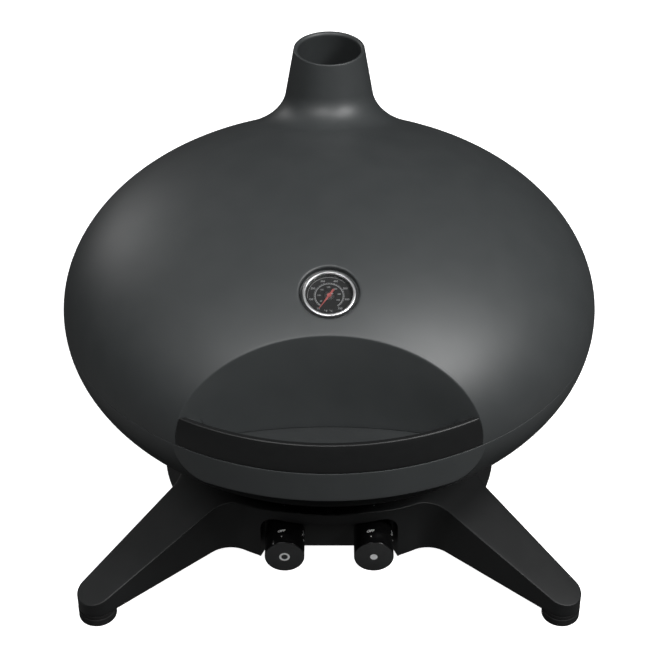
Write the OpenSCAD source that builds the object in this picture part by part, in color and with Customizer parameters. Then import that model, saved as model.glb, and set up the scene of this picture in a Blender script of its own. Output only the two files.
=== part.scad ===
// Table-top gas grill: a flattened cast sphere split at its widest line into a hinged lid with a
// chimney and a bowl, standing on a four-armed cast base with two gas knobs. Millimetres, +Z up,
// front faces -Y, origin on the floor under the body's vertical axis.

/* [Body] */
// Diameter of the flattened sphere at its seam
body_d = 532; // [505:1:580]
// Height of the whole flattened sphere
body_h = 293; // [275:1:320]
// Height of the seam above the floor
seam_z = 220; // [216:1:250]
// Wall of the cast lid and bowl
wall_t = 4.5; // [3.5:0.5:6]
// Gap between lid and bowl along the seam
seam_gap = 1; // [0.8:0.1:2]

/* [Chimney] */
// Distance of the chimney axis inside the body's rear edge
chimney_in = 101; // [92:1:120]
// Height of the chimney mouth above the seam
chimney_h = 192; // [178:1:215]
// Outside diameter of the chimney mouth
chimney_d = 72.5; // [60:0.5:84]
// Wall of the chimney at its mouth
chimney_wall = 4.5; // [3:0.5:6]
// Half angle of the tapering neck, degrees
chimney_taper = 9.8; // [4:0.2:12]
// Radius of the blend between neck and dome
chimney_blend = 28; // [15:1:32]
// Rounding of the chimney mouth's outer edge
chimney_lip_r = 1.4; // [0.6:0.2:2]

/* [Front recess, handle and lip] */
// Depth of the recess at the seam, measured in the middle
recess_depth = 63; // [52:1:72]
// Plan radius of the hollow recess wall
recess_r = 409; // [340:1:500]
// Backward lean of the recess wall, degrees
recess_draft = 4.4; // [1:0.2:7]
// Clear gap between the bowl and the handle's lower edge
handle_gap = 3; // [1.5:0.5:6]
// Height of the handle strip
handle_h = 29; // [20:1:36]
// Thickness of the handle strip
handle_t = 6; // [4:0.5:9]
// Length of each solid end of the handle
handle_end_l = 30.5; // [26:0.5:40]
// Fitting gap around the handle ends
handle_fit = 0.5; // [0.4:0.05:0.8]
// Height of the bowl's front lip
lip_h = 33; // [20:1:45]
// How far the bowl's front lip runs past the recess on each side
lip_over = 3; // [0:0.5:10]
// Corner radius of the bowl's front lip
lip_r = 31; // [10:1:32]

/* [Thermometer] */
// Distance of the thermometer's centre inside the body's front edge
gauge_in = 110.7; // [104:0.1:135]
// Diameter of the thermometer bezel
gauge_d = 48.7; // [40:0.1:56]
// Diameter of the round pocket that the thermometer sits in
gauge_pocket_d = 57; // [50:0.5:64]
// Depth of that pocket
gauge_pocket = 5; // [3:0.5:7]
// Height of the bezel above its seat
gauge_h = 7; // [5.5:0.1:9]
// Length of the probe under its seat
gauge_probe_l = 60; // [40:1:80]

/* [Base] */
// Diameter of the round drum under the bowl
drum_d = 352; // [330:1:372]
// Height of the drum's top face above the floor
drum_top = 84; // [82:0.5:90]
// Height of the casting's lower edge above the floor
base_lift = 14; // [8:0.5:16]
// Wall of the cast base
base_wall = 5; // [4:0.5:7]
// Distance of each foot from the body axis
foot_r = 321; // [300:1:340]
// Width of an arm at the body axis, before it tapers
arm_w = 84; // [70:1:96]
// Width of an arm at its foot
arm_tip_d = 36.6; // [30:0.2:44]
// Height of an arm's top face at its foot
arm_tip_h = 34.2; // [28:0.2:38]
// Distance from the body axis where the arm tops begin to fall
arm_crest = 147.5; // [142:0.5:156]
// Plan fillet between arm and drum
arm_fillet = 28; // [12:1:34]
// Diameter of a rubber foot
foot_d = 37; // [28:0.5:40]
// Diameter of the opening in the drum's top
drum_mouth_d = 240; // [234:1:256]

/* [Controls] */
// Half width of the knob cut-out
cutout_w = 66.7; // [64:0.1:78]
// Height of the cut-out's top edge above the floor
cutout_top = 70; // [66:0.5:74]
// Corner radius of the cut-out
cutout_r = 18; // [6:1:20]
// Distance of each knob from the middle
knob_x = 44; // [40:0.5:46]
// Height of the knob axis above the floor
knob_z = 42; // [40:0.5:44]
// Knob diameter
knob_d = 38; // [30:0.5:40]
// Knob length
knob_l = 37; // [28:0.5:40]
// Distance of the knob faces in front of the body axis
knob_front = 191; // [187:0.5:196]
// Travel of a pushed knob
knob_push = 3; // [2:0.5:3]
// Distance of the valve panel's front face in front of the body axis
panel_y = 150; // [148:0.5:150]
// Valve stem diameter
stem_d = 6; // [5:0.5:7]
// Running clearance of turning and sliding pins, on the radius
run_fit = 0.05; // [0.03:0.01:0.08]

/* [Burners] */
// Distance of the outer riser in front of the body axis
outer_riser_y = 88; // [84:1:90]
// Distance of the inner riser in front of the body axis
inner_riser_y = 35; // [33:1:40]
// Diameter of the burner tubes
burner_d = 16; // [12:0.5:18]
// Height of the burner tube centres above the floor
burner_z = 120; // [116:1:128]
// Number of flame ports on the outer burner
outer_ports = 28; // [12:1:36]
// Number of flame ports on the inner burner
inner_ports = 16; // [8:1:20]
// Diameter of the cone over the burners
tamer_d = 290; // [270:1:300]

/* [Cooking grate] */
// Gap between the grates and the bowl's wall
grate_gap = 14; // [9:0.5:25]
// Thickness of a grate
grate_t = 11; // [7:0.5:13]
// Distance of the grates' top below the seam
grate_drop = 12; // [9:0.5:16]
// Width of a bar
bar_w = 7; // [5:0.5:9]
// Spacing of the bars
bar_pitch = 18; // [15:0.5:24]

/* [Hinge] */
// Distance of the hinge axis behind the body's widest line
hinge_out = 2.5; // [2:0.1:3.5]
// Diameter of the hinge knuckles
knuckle_d = 11; // [9:0.5:11]
// Diameter of the hinge pin
pin_d = 5; // [4:0.5:6]
// Length of the lid's middle knuckle
knuckle_l = 48; // [36:1:52]
// Length of the hinge over all knuckles
hinge_l = 84; // [76:1:86]

/* [Grease tray] */
// Width of the grease tray
tray_w = 116; // [100:1:118]
// Depth of the grease tray's pan
tray_h = 28; // [18:1:30]
// Sheet thickness of the tray, the rails and the valve panel
sheet_t = 2; // [1.5:0.1:2.4]

/* [Hidden] */
$fn = 96;
eps = 0.02;
// Half axes of the flattened sphere and the two faces at the seam
a = body_d / 2;
c = body_h / 2;
lid_z = seam_z + seam_gap / 2;
bowl_z = seam_z - seam_gap / 2;
arc_steps = 26;
// Clearance of a screw in its hole and of a piece that lies loose on its seat
screw_fit = 0.1;
seat_gap = 0.3;
screw_r = 2.5;
small_screw_r = 2;
head_h = 2.4;

// Plan of the front recess: its back face, and where it runs out into the body
recess_back = a - recess_depth;
recess_hub = recess_back + recess_r;
recess_half = sqrt(a * a - pow((recess_r * recess_r - a * a - recess_hub * recess_hub) / (2 * recess_hub), 2));
handle_span = recess_half - handle_end_l;
lip_w = recess_half + lip_over;
chimney_y = a - chimney_in;
gauge_y = a - gauge_in;

// Height over the seam plane of the sphere inset by d, at radius r, and the reverse
function dome_z(r, d = 0) = (c - d) * sqrt(max(0, 1 - pow(r / (a - d), 2)));
function dome_r(z, d = 0) = (a - d) * sqrt(max(0, 1 - pow(z / (c - d), 2)));

// Thermometer seat on the lid, tilted square to its surface
gauge_z = seam_z + dome_z(gauge_y);
gauge_tilt = atan2(gauge_y / (a * a), dome_z(gauge_y) / (c * c));
gauge_case_r = gauge_d / 2 - 1;
gauge_case_h = gauge_h - 2.6;
gauge_dial_r = gauge_case_r - 2;
gauge_stem_r = 4.5;
gauge_nut_h = 4;
gauge_boss = 5;
needle_shaft_r = 0.8;
needle_l = gauge_dial_r * 0.78;
dial_t = 0.6;

// Chimney radii
chimney_r = chimney_d / 2;
taper_k = tan(chimney_taper);
flare_sides = 48;
flare_steps = 7;
flare_low = 45;
// The blend turns through this angle and runs out straight to a hair above the dome
foot_turn = 75;
foot_edge = 0.25;
foot_run = (chimney_blend * (1 - sin(foot_turn)) - foot_edge) * tan(foot_turn);

// Base and arms
drum_r = drum_d / 2;
drum_mouth_r = drum_mouth_d / 2;
arm_slope = atan((drum_top - arm_tip_h) / (foot_r - arm_crest));
arm_k = (arm_w / 2 - arm_tip_d / 2) / foot_r;
arm_q = sqrt(1 + arm_k * arm_k);
// Centre of the fillet that touches an arm's edge and the drum, in the arm's own axes
fillet_b = arm_w / 2 + arm_fillet * arm_q;
fillet_d = drum_r + arm_fillet;
fillet_u = (fillet_b * arm_k
    + sqrt(pow(fillet_b * arm_k, 2) - arm_q * arm_q * (fillet_b * fillet_b - fillet_d * fillet_d)))
    / (arm_q * arm_q);
fillet_v = fillet_b - arm_k * fillet_u;
plate_z = drum_top - base_wall;
foot_boss_r = 9;
foot_h = base_lift;
foot_head_z = 2;
foot_screw_l = arm_tip_h - base_wall - foot_head_z - 2;

// Bowl seats on the drum
seat_r = (drum_mouth_r + drum_r - base_wall) / 2 - 3;
seat_boss_r = 11;
seat_screw_l = 20;

// Gas train: everything hangs on the knob axis
panel_back = panel_y - sheet_t;
panel_w = cutout_w + 5.3;
panel_side_top = cutout_top + 4;
flange_w = panel_w - 16;
panel_low = 17;
panel_screw_x = flange_w - 10;
panel_screw_y = panel_back - 12;
flange_l = 22;
valve_r = 11;
valve_flange_r = 14;
valve_back = panel_back - 30;
plug_r = 6;
plug_back = valve_back + 6;
spud_r = 5;
spud_l = 10;
jet_l = 6;
jet_r = 3;
tube_r = 9;
tube_wall = 1.2;
elbow_r = 18;
tube_mouth = valve_back - spud_l + 2;
tube_flange_r = 15;
tube_flange_t = 3;
riser_boss_z = seam_z - c - 2;
socket_r = tube_r + 2.5;
socket_l = 12;
burner_r = burner_d / 2;
outer_ring_r = norm([knob_x, outer_riser_y]);
inner_ring_r = norm([knob_x, inner_riser_y]);
port_r = 1.2;
pipe_r = 6;
pipe_wall = 1.5;
pipe_z = knob_z - valve_r - pipe_r + 1;
pipe_y = panel_back - 16;
supply_x = 95;
inlet_r = 6.58;
inlet_l = 14;
inlet_hex_l = 8;
drum_back_y = sqrt(pow(drum_r, 2) - pow(supply_x, 2));
inlet_hex_r = 1.5 * pipe_r;
inlet_y = sqrt(pow(drum_r, 2) - pow(supply_x - inlet_hex_r, 2)) + seat_gap;
stem_r = stem_d / 2;
stem_back = panel_back - 14;
knob_wall = 3;
knob_face = 4;
knob_hub_r = 7;
knob_back = knob_front - knob_l;

// Burner cover, electrodes and bowl floor
tamer_r = tamer_d / 2;
tamer_rise = 14;
tamer_z = burner_z + 26;
tamer_leg_x = 122;
tamer_leg_r = 4;
tamer_boss_z = seam_z - dome_z(tamer_leg_x, wall_t) + 6;
// A leg ends inside the cone's sheet at its own radius
tamer_leg_h = tamer_z - tamer_boss_z + 0.8
    + tamer_rise * (tamer_r - tamer_leg_x - tamer_leg_r) / (tamer_r - 20);
electrode_r = 3.5;
electrode_boss_r = 8;
outer_spark = [-22, -76];
inner_spark = [20, -30];
drain_r = 15;
drain_low = 8;

// Grates and their lugs
grate_r = dome_r(grate_drop + grate_t, wall_t) - grate_gap;
grate_top = seam_z - grate_drop;
grate_low = grate_top - grate_t;
rim_w = 9;
lug_w = 22;
lug_h = 8;
lug_in = 8;

// Hinge
hinge_y = a + hinge_out;
hinge_face = hinge_y - knuckle_d / 2 - 1;
leaf_t = 3;
leaf_h = 24;
leaf_gap = 2;
knuckle_gap = 0.3;
hinge_screw_x = 30;
hinge_screw_z = 15;
hinge_pad = 10;

// Grease tray and rails
tray_wall = 1.5;
tray_front = 20;
tray_back = sqrt(pow(drum_r, 2) - pow(tray_w / 2, 2)) + 3;
rail_w = 13;
rail_in = 4;
rail_z = 20;
tray_z = rail_z + sheet_t + seat_gap;
tray_slot_gap = 3;
tab_l = 14;
tab_y = 104;

// Shared shapes

// Half of the flattened sphere, inset by d, from height z0 over the seam plane upwards
module dome(d, z0) {
    t0 = asin(max(-1, min(1, z0 / (c - d))));
    arc = [for (i = [0 : arc_steps]) let (t = t0 + (90 - t0) * i / arc_steps)
        [(a - d) * cos(t), (c - d) * sin(t)]];
    rotate_extrude($fn = 144) polygon(concat([[0, z0]], arc));
}

module at_seam() {
    translate([0, 0, seam_z]) children();
}

module upside_down() {
    at_seam() mirror([0, 0, 1]) children();
}

// Leaning round cutter that hollows the front of the lid
module recess_tool(grow) {
    at_seam() translate([0, -recess_hub, 0]) rotate([-recess_draft, 0, 0])
        translate([0, 0, -40]) cylinder(r = recess_r + grow, h = c + 80, $fn = 192);
}

// A round bar along Y from y0 to y1
module bar_y(x, z, r, y0, y1) {
    translate([x, y0, z]) rotate([-90, 0, 0]) cylinder(r = r, h = y1 - y0);
}

// A cap screw that points along +Z, with its socket head under z = 0
module cap_screw(r, l) {
    difference() {
        rotate_extrude() polygon([[0, -head_h], [2 * r - 0.5, -head_h], [2 * r, -head_h + 0.5], [2 * r, 0],
            [r, 0], [r, l - 0.5], [r - 0.5, l], [0, l]]);
        translate([0, 0, -head_h - eps]) cylinder(r = r, h = head_h / 2, $fn = 6);
    }
}

module at_arms() {
    for (i = [0 : 3]) rotate([0, 0, 45 + 90 * i]) children();
}

module at_feet() {
    at_arms() translate([foot_r, 0, 0]) children();
}

module at_gauge() {
    translate([0, -gauge_y, gauge_z]) rotate([gauge_tilt, 0, 0]) translate([0, 0, -gauge_pocket]) children();
}

module both_sides() {
    for (s = [0, 1]) mirror([s, 0, 0]) children();
}

// Base casting

// Plan of drum, arms and fillets, inset by d
module base_outline(d) {
    circle(r = drum_r - d, $fn = 144);
    tip = arm_tip_d / 2 - d;
    root = arm_w / 2 - d * arm_q;
    at_arms() {
        polygon([[0, -root], [foot_r, -tip], [foot_r, tip], [0, root]]);
        translate([foot_r, 0]) circle(r = tip);
        for (s = [-1, 1]) arm_web(s, d);
    }
}

// Hollow corner between an arm's edge and the drum
module arm_web(s, d) {
    hub = [fillet_u, s * fillet_v];
    r = arm_fillet + d;
    on_arm = hub - r / arm_q * [arm_k, s];
    on_drum = hub * (drum_r - d) / fillet_d;
    difference() {
        polygon([[0, 0], on_drum, hub, on_arm]);
        translate(hub) circle(r = r);
    }
}

// The casting's outer form, inset by d, with its four sloping arm tops
module base_form(d) {
    difference() {
        translate([0, 0, base_lift - d]) linear_extrude(drum_top - base_lift) base_outline(d);
        at_arms() translate([foot_r, 0, arm_tip_h - d]) rotate([0, arm_slope, 0])
            translate([-1.5 * foot_r, -foot_r / 2, 0]) cube([2 * foot_r, foot_r, drum_top]);
    }
}

// Knob cut-out: flat top with round corners, open below
module cutout_outline() {
    flat = cutout_w - cutout_r;
    translate([-cutout_w, 0]) square([2 * cutout_w, cutout_top - cutout_r]);
    translate([-flat, 0]) square([2 * flat, cutout_top]);
    for (s = [-1, 1]) translate([s * flat, cutout_top - cutout_r]) circle(r = cutout_r);
}

module base_frame() color([0.1, 0.105, 0.108]) difference() {
    union() {
        difference() {
            base_form(0);
            base_form(base_wall);
            translate([0, 0, plate_z - eps]) cylinder(r = drum_mouth_r, h = 2 * base_wall, $fn = 144);
            translate([0, -drum_r / 2, 0]) rotate([90, 0, 0]) linear_extrude(drum_r) cutout_outline();
            tray_slot();
        }
        intersection() {
            base_form(0);
            at_feet() translate([0, 0, base_lift]) cylinder(r = foot_boss_r, h = drum_top);
        }
    }
    at_feet() cylinder(r = screw_r + screw_fit, h = foot_head_z + foot_screw_l + 1);
    at_arms() translate([seat_r, 0, plate_z - 1]) cylinder(r = screw_r + screw_fit, h = base_wall + 2);
    both_sides() translate([panel_screw_x, -panel_screw_y, plate_z - eps])
        cylinder(r = small_screw_r + screw_fit, h = base_wall - 1);
    bar_y(-supply_x, pipe_z, pipe_r + 1, drum_r / 2, drum_r);
}

// Rear opening that the grease tray slides through
module tray_slot() {
    w = tray_w / 2 + tray_slot_gap;
    translate([-w, drum_r / 2, tray_z - tray_slot_gap])
        cube([2 * w, drum_r, tray_h + 2 * tray_slot_gap]);
}

module foot_pads() color([0.05, 0.05, 0.052]) at_feet() difference() {
    r = foot_d / 2;
    rotate_extrude() polygon([[0, 0], [r - 1.5, 0], [r, 1.5], [r, foot_h - 5], [r - 0.8, foot_h - 4.4],
        [r - 0.8, foot_h - 3.6], [r, foot_h - 3], [r, foot_h], [0, foot_h]]);
    translate([0, 0, -eps]) cylinder(r = 2 * screw_r + seat_gap, h = foot_head_z + head_h + eps);
    cylinder(r = screw_r + screw_fit, h = foot_h + 1);
}

module foot_screws() color("silver") at_feet() translate([0, 0, foot_head_z + head_h])
    cap_screw(screw_r, foot_screw_l - head_h);

// Bowl

// Front view of the lip: a band with round lower corners
module lip_outline() {
    translate([-lip_w, -lip_h + lip_r]) square([2 * lip_w, lip_h - lip_r]);
    translate([-lip_w + lip_r, -lip_h]) square([2 * (lip_w - lip_r), lip_h]);
    for (s = [-1, 1]) translate([s * (lip_w - lip_r), -lip_h + lip_r]) circle(r = lip_r);
}

module bowl_lip() intersection() {
    translate([0, 0, bowl_z - lip_h]) cylinder(r = a, h = lip_h, $fn = 192);
    translate([0, 0, bowl_z]) rotate([90, 0, 0]) linear_extrude(body_d) lip_outline();
}

// Ledge under the lid's recess, which closes the bowl there
module bowl_shelf() intersection() {
    translate([0, 0, bowl_z - wall_t]) cylinder(r = dome_r(wall_t + seam_gap), h = wall_t, $fn = 144);
    recess_tool(wall_t);
}

module at_risers() {
    translate([-knob_x, -outer_riser_y, 0]) children();
    translate([knob_x, -inner_riser_y, 0]) children();
}

module at_sparks() {
    translate(outer_spark) children();
    translate(inner_spark) children();
}

module at_tamer_legs() {
    for (i = [0 : 2]) rotate([0, 0, 90 + 120 * i]) translate([tamer_leg_x, 0, 0]) children();
}

module at_lugs() {
    for (i = [0 : 5]) rotate([0, 0, 60 * i]) children();
}

// Thick pad inside the rear wall that the hinge leaf is screwed to
module hinge_seat() intersection() {
    translate([-hinge_l / 2 - 3, hinge_face - hinge_pad, seam_gap / 2])
        cube([hinge_l + 6, 2 * hinge_pad, leaf_h + leaf_gap + 4]);
    dome(0, seam_gap / 2);
}

module hinge_flat() {
    translate([-hinge_l / 2 - 1, hinge_face, -1]) cube([hinge_l + 2, a, leaf_h + leaf_gap + 2]);
    for (s = [-1, 1]) bar_y(s * hinge_screw_x, hinge_screw_z, small_screw_r + screw_fit,
        hinge_face - hinge_pad + 1, a);
}

module bowl_outside() {
    upside_down() dome(0, seam_gap / 2);
    bowl_lip();
    at_arms() translate([seat_r, 0, drum_top]) cylinder(r = seat_boss_r, h = seam_z - c);
    at_risers() translate([0, 0, riser_boss_z]) cylinder(r = tube_flange_r, h = 30);
    at_sparks() translate([0, 0, riser_boss_z]) cylinder(r = electrode_boss_r, h = 20);
    translate([0, 0, seam_z - c - drain_low]) cylinder(r = drain_r + 4, h = 20);
}

module bowl_inside() {
    bowl_shelf();
    at_tamer_legs() translate([0, 0, tamer_boss_z - 10]) cylinder(r = tamer_leg_r + 3, h = 10);
    intersection() {
        upside_down() dome(1, seam_gap / 2);
        at_lugs() translate([grate_r - lug_in, -lug_w / 2, grate_low - lug_h]) cube([60, lug_w, lug_h]);
    }
    upside_down() hinge_seat();
}

module bowl() color([0.19, 0.19, 0.195]) difference() {
    union() {
        difference() {
            bowl_outside();
            upside_down() dome(wall_t, -seam_gap);
        }
        bowl_inside();
    }
    upside_down() hinge_flat();
    at_risers() translate([0, 0, riser_boss_z - 1]) cylinder(r = tube_r + screw_fit, h = 60);
    at_sparks() translate([0, 0, riser_boss_z - 1]) cylinder(r = electrode_r + screw_fit, h = 40);
    translate([0, 0, seam_z - c - drain_low - 1]) cylinder(r = drain_r, h = 40);
    at_arms() translate([seat_r, 0, drum_top - eps])
        cylinder(r = screw_r + screw_fit, h = seat_screw_l - base_wall - 4);
    at_bumpers() translate([0, 0, bowl_z - 2]) cylinder(r = 1, h = 3);
}

module bowl_screws() color("silver") at_arms() translate([seat_r, 0, plate_z])
    cap_screw(screw_r, seat_screw_l - base_wall);

module at_bumpers() {
    for (t = [-50, 50, 130, 230]) rotate([0, 0, t - 90]) translate([a - wall_t / 2, 0, 0]) children();
}

// Small silicone studs that the closed lid rests on
module lid_bumpers() color([0.08, 0.08, 0.08]) at_bumpers() {
    translate([0, 0, bowl_z - 2]) cylinder(r = 1 - eps, h = 2);
    translate([0, 0, bowl_z]) cylinder(r = wall_t / 2 - 0.4, h = seam_gap - seat_gap);
}

// Gas controls

module valve_panel() color([0.13, 0.135, 0.14]) difference() {
    union() {
        translate([-panel_w, -panel_y, panel_low]) cube([2 * panel_w, sheet_t, panel_side_top - panel_low]);
        translate([-flange_w, -panel_y, panel_low]) cube([2 * flange_w, sheet_t, plate_z - panel_low]);
        translate([-flange_w, -panel_y, plate_z - sheet_t]) cube([2 * flange_w, flange_l, sheet_t]);
    }
    both_sides() bar_y(knob_x, knob_z, plug_r + 2, -panel_y - 1, -panel_back + 1);
    both_sides() translate([panel_screw_x, -panel_screw_y, plate_z - sheet_t - 1])
        cylinder(r = small_screw_r + screw_fit, h = sheet_t + 2);
}

module panel_screws() color("silver") both_sides()
    translate([panel_screw_x, -panel_screw_y, plate_z - sheet_t])
    cap_screw(small_screw_r, sheet_t + base_wall - 2);

// Brass gas tap with its jet, on the panel's back
module valve_body(x) difference() {
    union() {
        bar_y(x, knob_z, valve_flange_r, -panel_back, -panel_back + 3);
        bar_y(x, knob_z, valve_r, -panel_back, -valve_back);
        bar_y(x, knob_z, spud_r, -valve_back - eps, -valve_back + spud_l);
        bar_y(x, knob_z, jet_r, -valve_back + spud_l - eps, -valve_back + spud_l + jet_l);
        translate([x, -pipe_y, pipe_z]) cylinder(r = pipe_r, h = knob_z - pipe_z);
    }
    bar_y(x, knob_z, plug_r + run_fit, -panel_back - 1, -plug_back);
    bar_y(x, pipe_z, pipe_r, -panel_y, -valve_back);
    translate([x - 2 * pipe_r, -pipe_y, pipe_z]) rotate([0, 90, 0]) cylinder(r = pipe_r, h = 4 * pipe_r);
}

module left_valve_body() color("darkgoldenrod") valve_body(-knob_x);

module right_valve_body() color("darkgoldenrod") valve_body(knob_x);

// Turning plug inside a tap, with a flat-sided socket for the stem
module valve_plug(x) difference() {
    bar_y(x, knob_z, plug_r, -panel_back, -plug_back - seat_gap);
    stem_form(x, run_fit, -panel_y, -stem_back + knob_push + seat_gap);
}

// D-shaped stem with its flat on top
module stem_form(x, grow, y0, y1) difference() {
    bar_y(x, knob_z, stem_r + grow, y0, y1);
    translate([x - stem_d, y0 - 1, knob_z + stem_r * 0.6 + grow]) cube([2 * stem_d, y1 - y0 + 2, stem_d]);
}

module left_valve_plug() color("goldenrod") valve_plug(-knob_x);

module right_valve_plug() color("goldenrod") valve_plug(knob_x);

module left_stem() color("silver") stem_form(-knob_x, 0, -knob_front + knob_face, -stem_back);

module right_stem() color("silver") stem_form(knob_x, 0, -knob_front + knob_face, -stem_back);

// Hollow knob with a rounded face edge, a hub and the stem's socket
module knob(x) difference() {
    r = knob_d / 2;
    edge = 1;
    rim = [for (i = [0 : 4]) let (t = 90 - 22.5 * i)
        [r - edge + edge * cos(t), knob_l - edge + edge * sin(t)]];
    translate([x, -knob_back, knob_z]) rotate([90, 0, 0]) rotate_extrude() polygon(concat(
        [[0, 3], [knob_hub_r, 3], [knob_hub_r, knob_l - knob_face], [r - knob_wall, knob_l - knob_face],
        [r - knob_wall, 0], [r, 0]], [for (i = [4 : -1 : 0]) rim[i]], [[0, knob_l]]));
    stem_form(x, screw_fit / 2, -knob_front + knob_face, -knob_back + 1);
}

module left_knob() color([0.04, 0.04, 0.042]) knob(-knob_x);

module right_knob() color([0.04, 0.04, 0.042]) knob(knob_x);

// Gas pipe behind the panel and back along the left side to the inlet
module pipe_run(r) {
    bend = 2 * pipe_r;
    translate([-supply_x + bend, -pipe_y, pipe_z]) rotate([0, 90, 0])
        cylinder(r = r, h = supply_x - bend + knob_x + 2 * pipe_r);
    translate([-supply_x + bend, -pipe_y + bend, pipe_z]) rotate([0, 0, 180])
        rotate_extrude(angle = 90) translate([bend, 0]) circle(r = r, $fn = 48);
    bar_y(-supply_x, pipe_z, r, -pipe_y + bend, drum_back_y - base_wall - 1);
}

module manifold_pipe() color("silver") pipe_run(pipe_r - eps);

// Threaded stub that a regulator hose screws onto, behind the drum
module gas_inlet() color("darkgoldenrod") difference() {
    thread_y = inlet_y + inlet_hex_l;
    union() {
        bar_y(-supply_x, pipe_z, pipe_r - eps, drum_back_y - base_wall - 1, inlet_y + eps);
        translate([-supply_x, inlet_y, pipe_z]) rotate([-90, 0, 0])
            cylinder(r = inlet_hex_r, h = inlet_hex_l, $fn = 6);
        bar_y(-supply_x, pipe_z, inlet_r, thread_y - eps, thread_y + inlet_l);
    }
    bar_y(-supply_x, pipe_z, inlet_r - 2, thread_y - 4, thread_y + inlet_l + 1);
}

// Mixing tube: bell mouth at the jet, elbow, and a riser through the bowl
module venturi_run(riser_y, r, top) {
    bar_y(0, knob_z, r, -tube_mouth, -riser_y - elbow_r);
    translate([0, -riser_y - elbow_r, knob_z + elbow_r]) rotate([0, 0, 90]) rotate([90, 0, 0])
        rotate([0, 0, -90]) rotate_extrude(angle = 90) translate([elbow_r, 0]) circle(r = r, $fn = 48);
    translate([0, -riser_y, knob_z + elbow_r]) cylinder(r = r, h = top - knob_z - elbow_r);
}

module venturi(x, riser_y) translate([x, 0, 0]) difference() {
    top = burner_z - burner_r;
    union() {
        venturi_run(riser_y, tube_r, top);
        translate([0, -riser_y, riser_boss_z - tube_flange_t]) cylinder(r = tube_flange_r, h = tube_flange_t);
    }
    venturi_run(riser_y, tube_r - tube_wall, top + 1);
    bar_y(0, knob_z, tube_r - tube_wall, -tube_mouth - 1, -tube_mouth + 3);
}

module left_venturi() color("slategray") venturi(-knob_x, outer_riser_y);

module right_venturi() color("slategray") venturi(knob_x, inner_riser_y);

// Ring burner with flame ports around its outer upper side and a socket for its riser
module ring_burner(r, x, y, ports) difference() {
    union() {
        translate([0, 0, burner_z]) rotate_extrude() translate([r, 0]) circle(r = burner_r, $fn = 48);
        translate([x, -y, burner_z - burner_r - socket_l]) cylinder(r = socket_r, h = socket_l + burner_r);
    }
    translate([x, -y, burner_z - burner_r - socket_l - 1]) cylinder(r = tube_r + screw_fit, h = socket_l + 1);
    for (i = [0 : ports - 1]) rotate([0, 0, 360 * (i + 0.5) / ports]) translate([r, 0, burner_z])
        rotate([0, 40, 0]) translate([0, 0, burner_r - 2.5]) cylinder(r = port_r, h = 6, $fn = 16);
}

module outer_burner() color("dimgray") ring_burner(outer_ring_r, -knob_x, outer_riser_y, outer_ports);

module inner_burner() color("dimgray") ring_burner(inner_ring_r, knob_x, inner_riser_y, inner_ports);

// Ceramic spark rod through the bowl floor
module electrode(at) translate([at[0], at[1], 0]) {
    low = riser_boss_z - 14;
    translate([0, 0, low]) cylinder(r = electrode_r, h = burner_z - 4 - low);
    translate([0, 0, riser_boss_z - 3]) cylinder(r = electrode_boss_r, h = 3);
    translate([0, 0, burner_z - 4 - eps]) cylinder(r = 1, h = 12);
}

module outer_electrode() color("ivory") electrode(outer_spark);

module inner_electrode() color("ivory") electrode(inner_spark);

module spark_generator() color([0.12, 0.12, 0.12]) difference() {
    w = 20;
    translate([-w, -panel_back, knob_z - 8]) cube([2 * w, 24, 24]);
    for (s = [-1, 1]) translate([s * w / 2, -panel_back + 18, knob_z + 8]) cylinder(r = 2, h = 10);
}

// Steel cone on three legs that spreads the heat and keeps fat off the flames
module flame_tamer() color("gray") {
    difference() {
        translate([0, 0, tamer_z]) rotate_extrude($fn = 144) polygon([[0, tamer_rise], [20, tamer_rise],
            [tamer_r, 0], [tamer_r, -8], [tamer_r + 1.5, -8], [tamer_r + 1.5, 1.2], [20, tamer_rise + 1.6],
            [0, tamer_rise + 1.6]]);
        for (i = [0 : 11]) rotate([0, 0, 30 * i]) translate([tamer_r * 0.5, -3, tamer_z - 10])
            cube([tamer_r * 0.34, 6, 40]);
    }
    at_tamer_legs() translate([0, 0, tamer_boss_z]) cylinder(r = tamer_leg_r, h = tamer_leg_h);
}

// Cooking grates

module grate_outline() difference() {
    circle(r = grate_r, $fn = 144);
    intersection() {
        circle(r = grate_r - rim_w, $fn = 144);
        for (x = [bar_w : bar_pitch : grate_r]) for (s = [-1, 1]) translate([x, s < 0 ? -grate_r : rim_w / 2])
            square([bar_pitch - bar_w, grate_r - rim_w / 2]);
    }
    translate([-2 * grate_r + seat_gap, -grate_r]) square(2 * grate_r);
}

module half_grate() translate([0, 0, grate_low]) linear_extrude(grate_t) grate_outline();

module right_grate() color([0.07, 0.07, 0.07]) half_grate();

module left_grate() color([0.07, 0.07, 0.07]) mirror([1, 0, 0]) half_grate();

// Grease tray on its rails

module tray_rails() color("silver") both_sides() {
    x0 = tray_w / 2 - rail_in;
    web = x0 + rail_w - sheet_t;
    translate([x0, -tab_y - tab_l, rail_z]) cube([rail_w, tab_y + tab_l + tray_back - 12, sheet_t]);
    for (y = [-tab_y - tab_l, tab_y]) translate([web, y, rail_z]) cube([sheet_t, tab_l, plate_z - rail_z]);
}

module grease_tray() color("lightgray") {
    w = tray_w / 2;
    translate([-w, -tray_front, tray_z]) difference() {
        cube([tray_w, tray_front + tray_back, tray_h]);
        translate([tray_wall, tray_wall, tray_wall])
            cube([tray_w - 2 * tray_wall, tray_front + tray_back - 2 * tray_wall, tray_h]);
    }
    translate([-w / 3, tray_back - eps, tray_z + tray_h - tray_wall]) cube([2 * w / 3, 12, tray_wall]);
    translate([-w / 3, tray_back + 12 - tray_wall, tray_z + tray_h - 8]) cube([2 * w / 3, tray_wall, 8]);
}

// Hinge

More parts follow.
